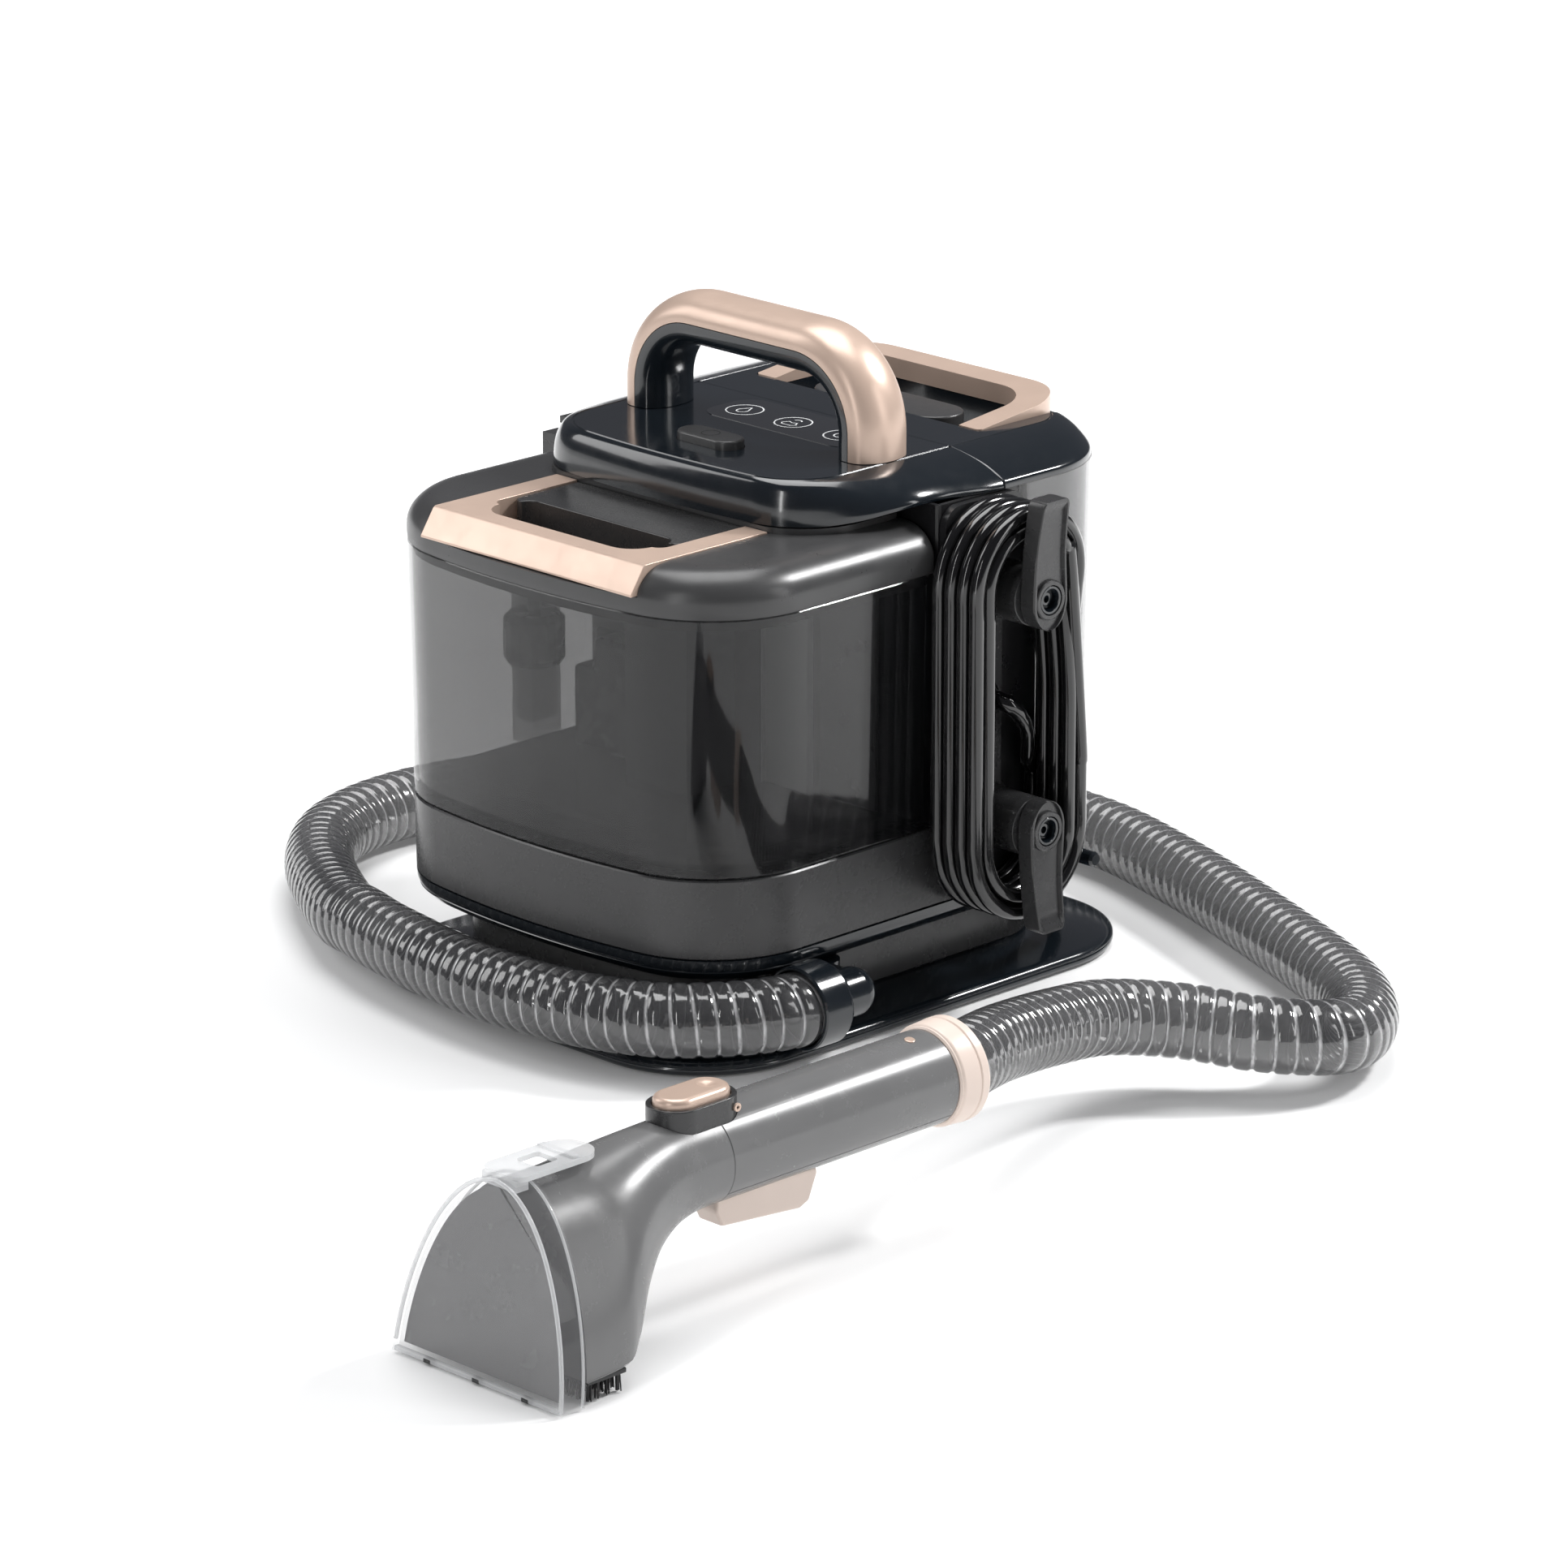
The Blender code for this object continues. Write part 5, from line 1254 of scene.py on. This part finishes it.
# From the barrel to the face: y, middle height, half width, half height, share of the arch
NOZZLE_SECTIONS = [(BARREL_Y0 - GAP, BARREL_Z, BARREL_R, BARREL_R, 0.0),
                   (-0.348, 0.0665, 0.0217, 0.0219, 0.0), (-0.363, 0.0638, 0.0228, 0.0242, 0.0),
                   (-0.38, 0.0615, 0.0255, 0.0258, 0.12),
                   (-0.395, 0.058, 0.03, 0.0283, 0.35), (-0.407, 0.052, 0.036, 0.0335, 0.65),
                   (-0.418, 0.05, 0.04, 0.035, 0.92), (-0.4427, 0.05, 0.04, 0.035, 1.0)]


def build_tool():
    body = loft("nozzle", [nozzle_ring(*section) for section in eased_levels(NOZZLE_SECTIONS, 5)])
    seat = slot_along_y(TOOL_X, -0.3603, -0.3157, 0.0266)
    cut(body, prism("seat", seat, 0.083, 0.2))
    place(body, "tool", "machine", "nozzle_body", sharp=34)

    screw = turned("screw", [(0, 0.0024), (0.0006, 0.0024), (0.0009, 0.002)],
                   (TOOL_X + 0.0035, -0.2095, BARREL_Z + BARREL_R - 0.0006), (0.16, 0, 1), 24)
    place(screw, "rose", "machine")
    pin = pipe("side_pin", [(0, 0.0008), (0.0009, 0.0008), (0.0009, 0.0019), (0, 0.0019)],
               (TOOL_X + 0.0126, -0.3235, 0.0895), X_AXIS, 24)
    place(pin, "rose", "machine")

    length = BARREL_Y1 - BARREL_Y0
    profile = [(0, 0.019), (0, BARREL_R - 0.0004), (0.0004, BARREL_R), (length - 0.0004, BARREL_R),
               (length, BARREL_R - 0.0004), (length, 0.019)]
    start = (TOOL_X, BARREL_Y0, BARREL_Z)
    upper = pipe("upper_shell", profile, start, Y_AXIS, 96)
    lower = pipe("lower_shell", profile, start, Y_AXIS, 96)
    cut(upper, box("below", 0.2, 0.4, -0.5, 0, 0, 0.054), prism("seat", seat, 0.083, 0.2))
    cut(lower, box("above", 0.2, 0.4, -0.5, 0, 0.054 - GAP, 0.2),
        box("trigger_way", *across(0.008), -0.3312, -0.2688, 0, 0.1))
    place(upper, "tool", "machine", "barrel_upper_shell", sharp=30)
    place(lower, "tool", "machine", "barrel_lower_shell", sharp=30)

    housing = prism("housing", slot_along_y(TOOL_X, -0.36, -0.316, 0.026), 0.0833, 0.0945)
    cut(housing, prism("well", slot_along_y(TOOL_X, -0.3575, -0.3185, 0.021), 0.088, 0.2))
    place(softened(housing, 0.0006), "charcoal", "machine", "release_housing")
    levels = [(0.0915, 0.0), (0.0962, 0.0), (0.0974, 0.0006), (0.0982, 0.0018), (0.0985, 0.0032)]
    button = loft("tool_button", [at(slot_along_y(TOOL_X, -0.357 + i, -0.319 - i, 0.02 - 2 * i), z)
                                  for z, i in levels])
    cut(button, turned("dimple", [(0, 0.0001), (0.0006, 0.0036), (0.002, 0.006), (0.004, 0.0074)],
                       (TOOL_X, -0.329, 0.0972), Z_AXIS, 40))
    place(button, "rose", "release_button", "release_button")

    profile = [(-0.329, 0.0515), (-0.3305, 0.042), (-0.327, 0.0345), (-0.28, 0.0302),
               (-0.2745, 0.0325), (-0.2695, 0.044), (-0.27, 0.047)]
    trigger = loft("tool_trigger", [upright(profile, x) for x in across(0.0074)])
    place(softened(trigger, 0.0022, 5), "pale_rose", "trigger", "trigger")

    socket = HOSE_D / 2 + 0.0004
    collar = pipe("collar", [(0, socket), (0, 0.0216), (0.0006, 0.0224), (0.0012, 0.0225), (0.0016, 0.0229),
                             (0.0024, 0.0234), (0.011, 0.0238), (0.0116, 0.0234), (0.0122, 0.024),
                             (0.0158, 0.024), (0.0168, 0.0234), (0.017, 0.0226), (0.0168, socket)],
                  (TOOL_X, BARREL_Y1 + GAP, BARREL_Z), Y_AXIS, 80)
    place(collar, "pale_rose", "machine", "tool_collar", sharp=30)
    build_brush()


def build_brush():
    """Tufts of bristle in a grid of rows, under a thin root bar."""
    rng = random.Random(11)
    root = box("brush_root", *across(0.0495), -0.4455, -0.4235, 0.0085, 0.0107)
    points = []
    faces = []
    for row in range(4):
        for column in range(22):
            cx = TOOL_X - 0.0465 + 0.093 * column / 21
            cy = -0.443 + 0.017 * row / 3
            for _ in range(7):
                x = cx + rng.uniform(-0.0011, 0.0011)
                y = cy + rng.uniform(-0.0011, 0.0011)
                lean_x = rng.uniform(-0.0006, 0.0006)
                lean_y = rng.uniform(-0.0006, 0.0006)
                first = len(points)
                for z, r, f in ((0.009, 0.00042, 0.0), (0.0004, 0.0003, 1.0)):
                    for k in range(6):
                        t = math.pi * k / 3
                        points.append((x + f * lean_x + r * math.cos(t),
                                       y + f * lean_y + r * math.sin(t), z))
                for k in range(6):
                    m = (k + 1) % 6
                    faces.append((first + k, first + m, first + 6 + m, first + 6 + k))
                faces.append(tuple(first + 6 + k for k in range(6)))
    tufts = mesh_object("brush_tufts", points, faces)
    place(softened(root, 0.0004, 2), "bristle", "machine", "nozzle_brush")
    place(tufts, "bristle", "machine")


# ---- carried-over CAD pieces

CAD_LOOKS = {
    "rubber": ("foot_front_left", "foot_front_right", "foot_back_left", "foot_back_right",
        "cord_gland", "dirty_tank_seal", "valve_poppet"),
    "column": ("column_shell",),
    "cord": ("power_plug",),
    "navy": ("hose_peg",),
    "inner": ("intake_duct", "outlet_valve", "vacuum_motor", "fan_housing", "water_pump",
        "air_duct", "trigger_valve"),
    "charcoal": ("shutoff_float", "tool_holder"),
    "board": ("control_board",),
    "steel": ("fan_impeller", "heater_block"),
}


def dress_cad():
    for look, names in CAD_LOOKS.items():
        for name in names:
            mesh = NODES[name].data
            mesh.materials.clear()
            mesh.materials.append(LOOKS[look])


def main():
    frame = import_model()
    NODES.update(frame["nodes"])
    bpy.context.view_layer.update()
    build_camera()
    build_looks()
    build_hose()
    build_cord()
    build_stage()
    build_base()
    build_lower_body()
    build_dirty_tank()
    build_dirty_lid()
    build_clean_tank()
    build_clean_lid()
    build_top_cover()
    build_handle()
    build_wrap()
    build_hose_fittings()
    build_nozzle_cover()
    build_tool()
    dress_cad()


main()
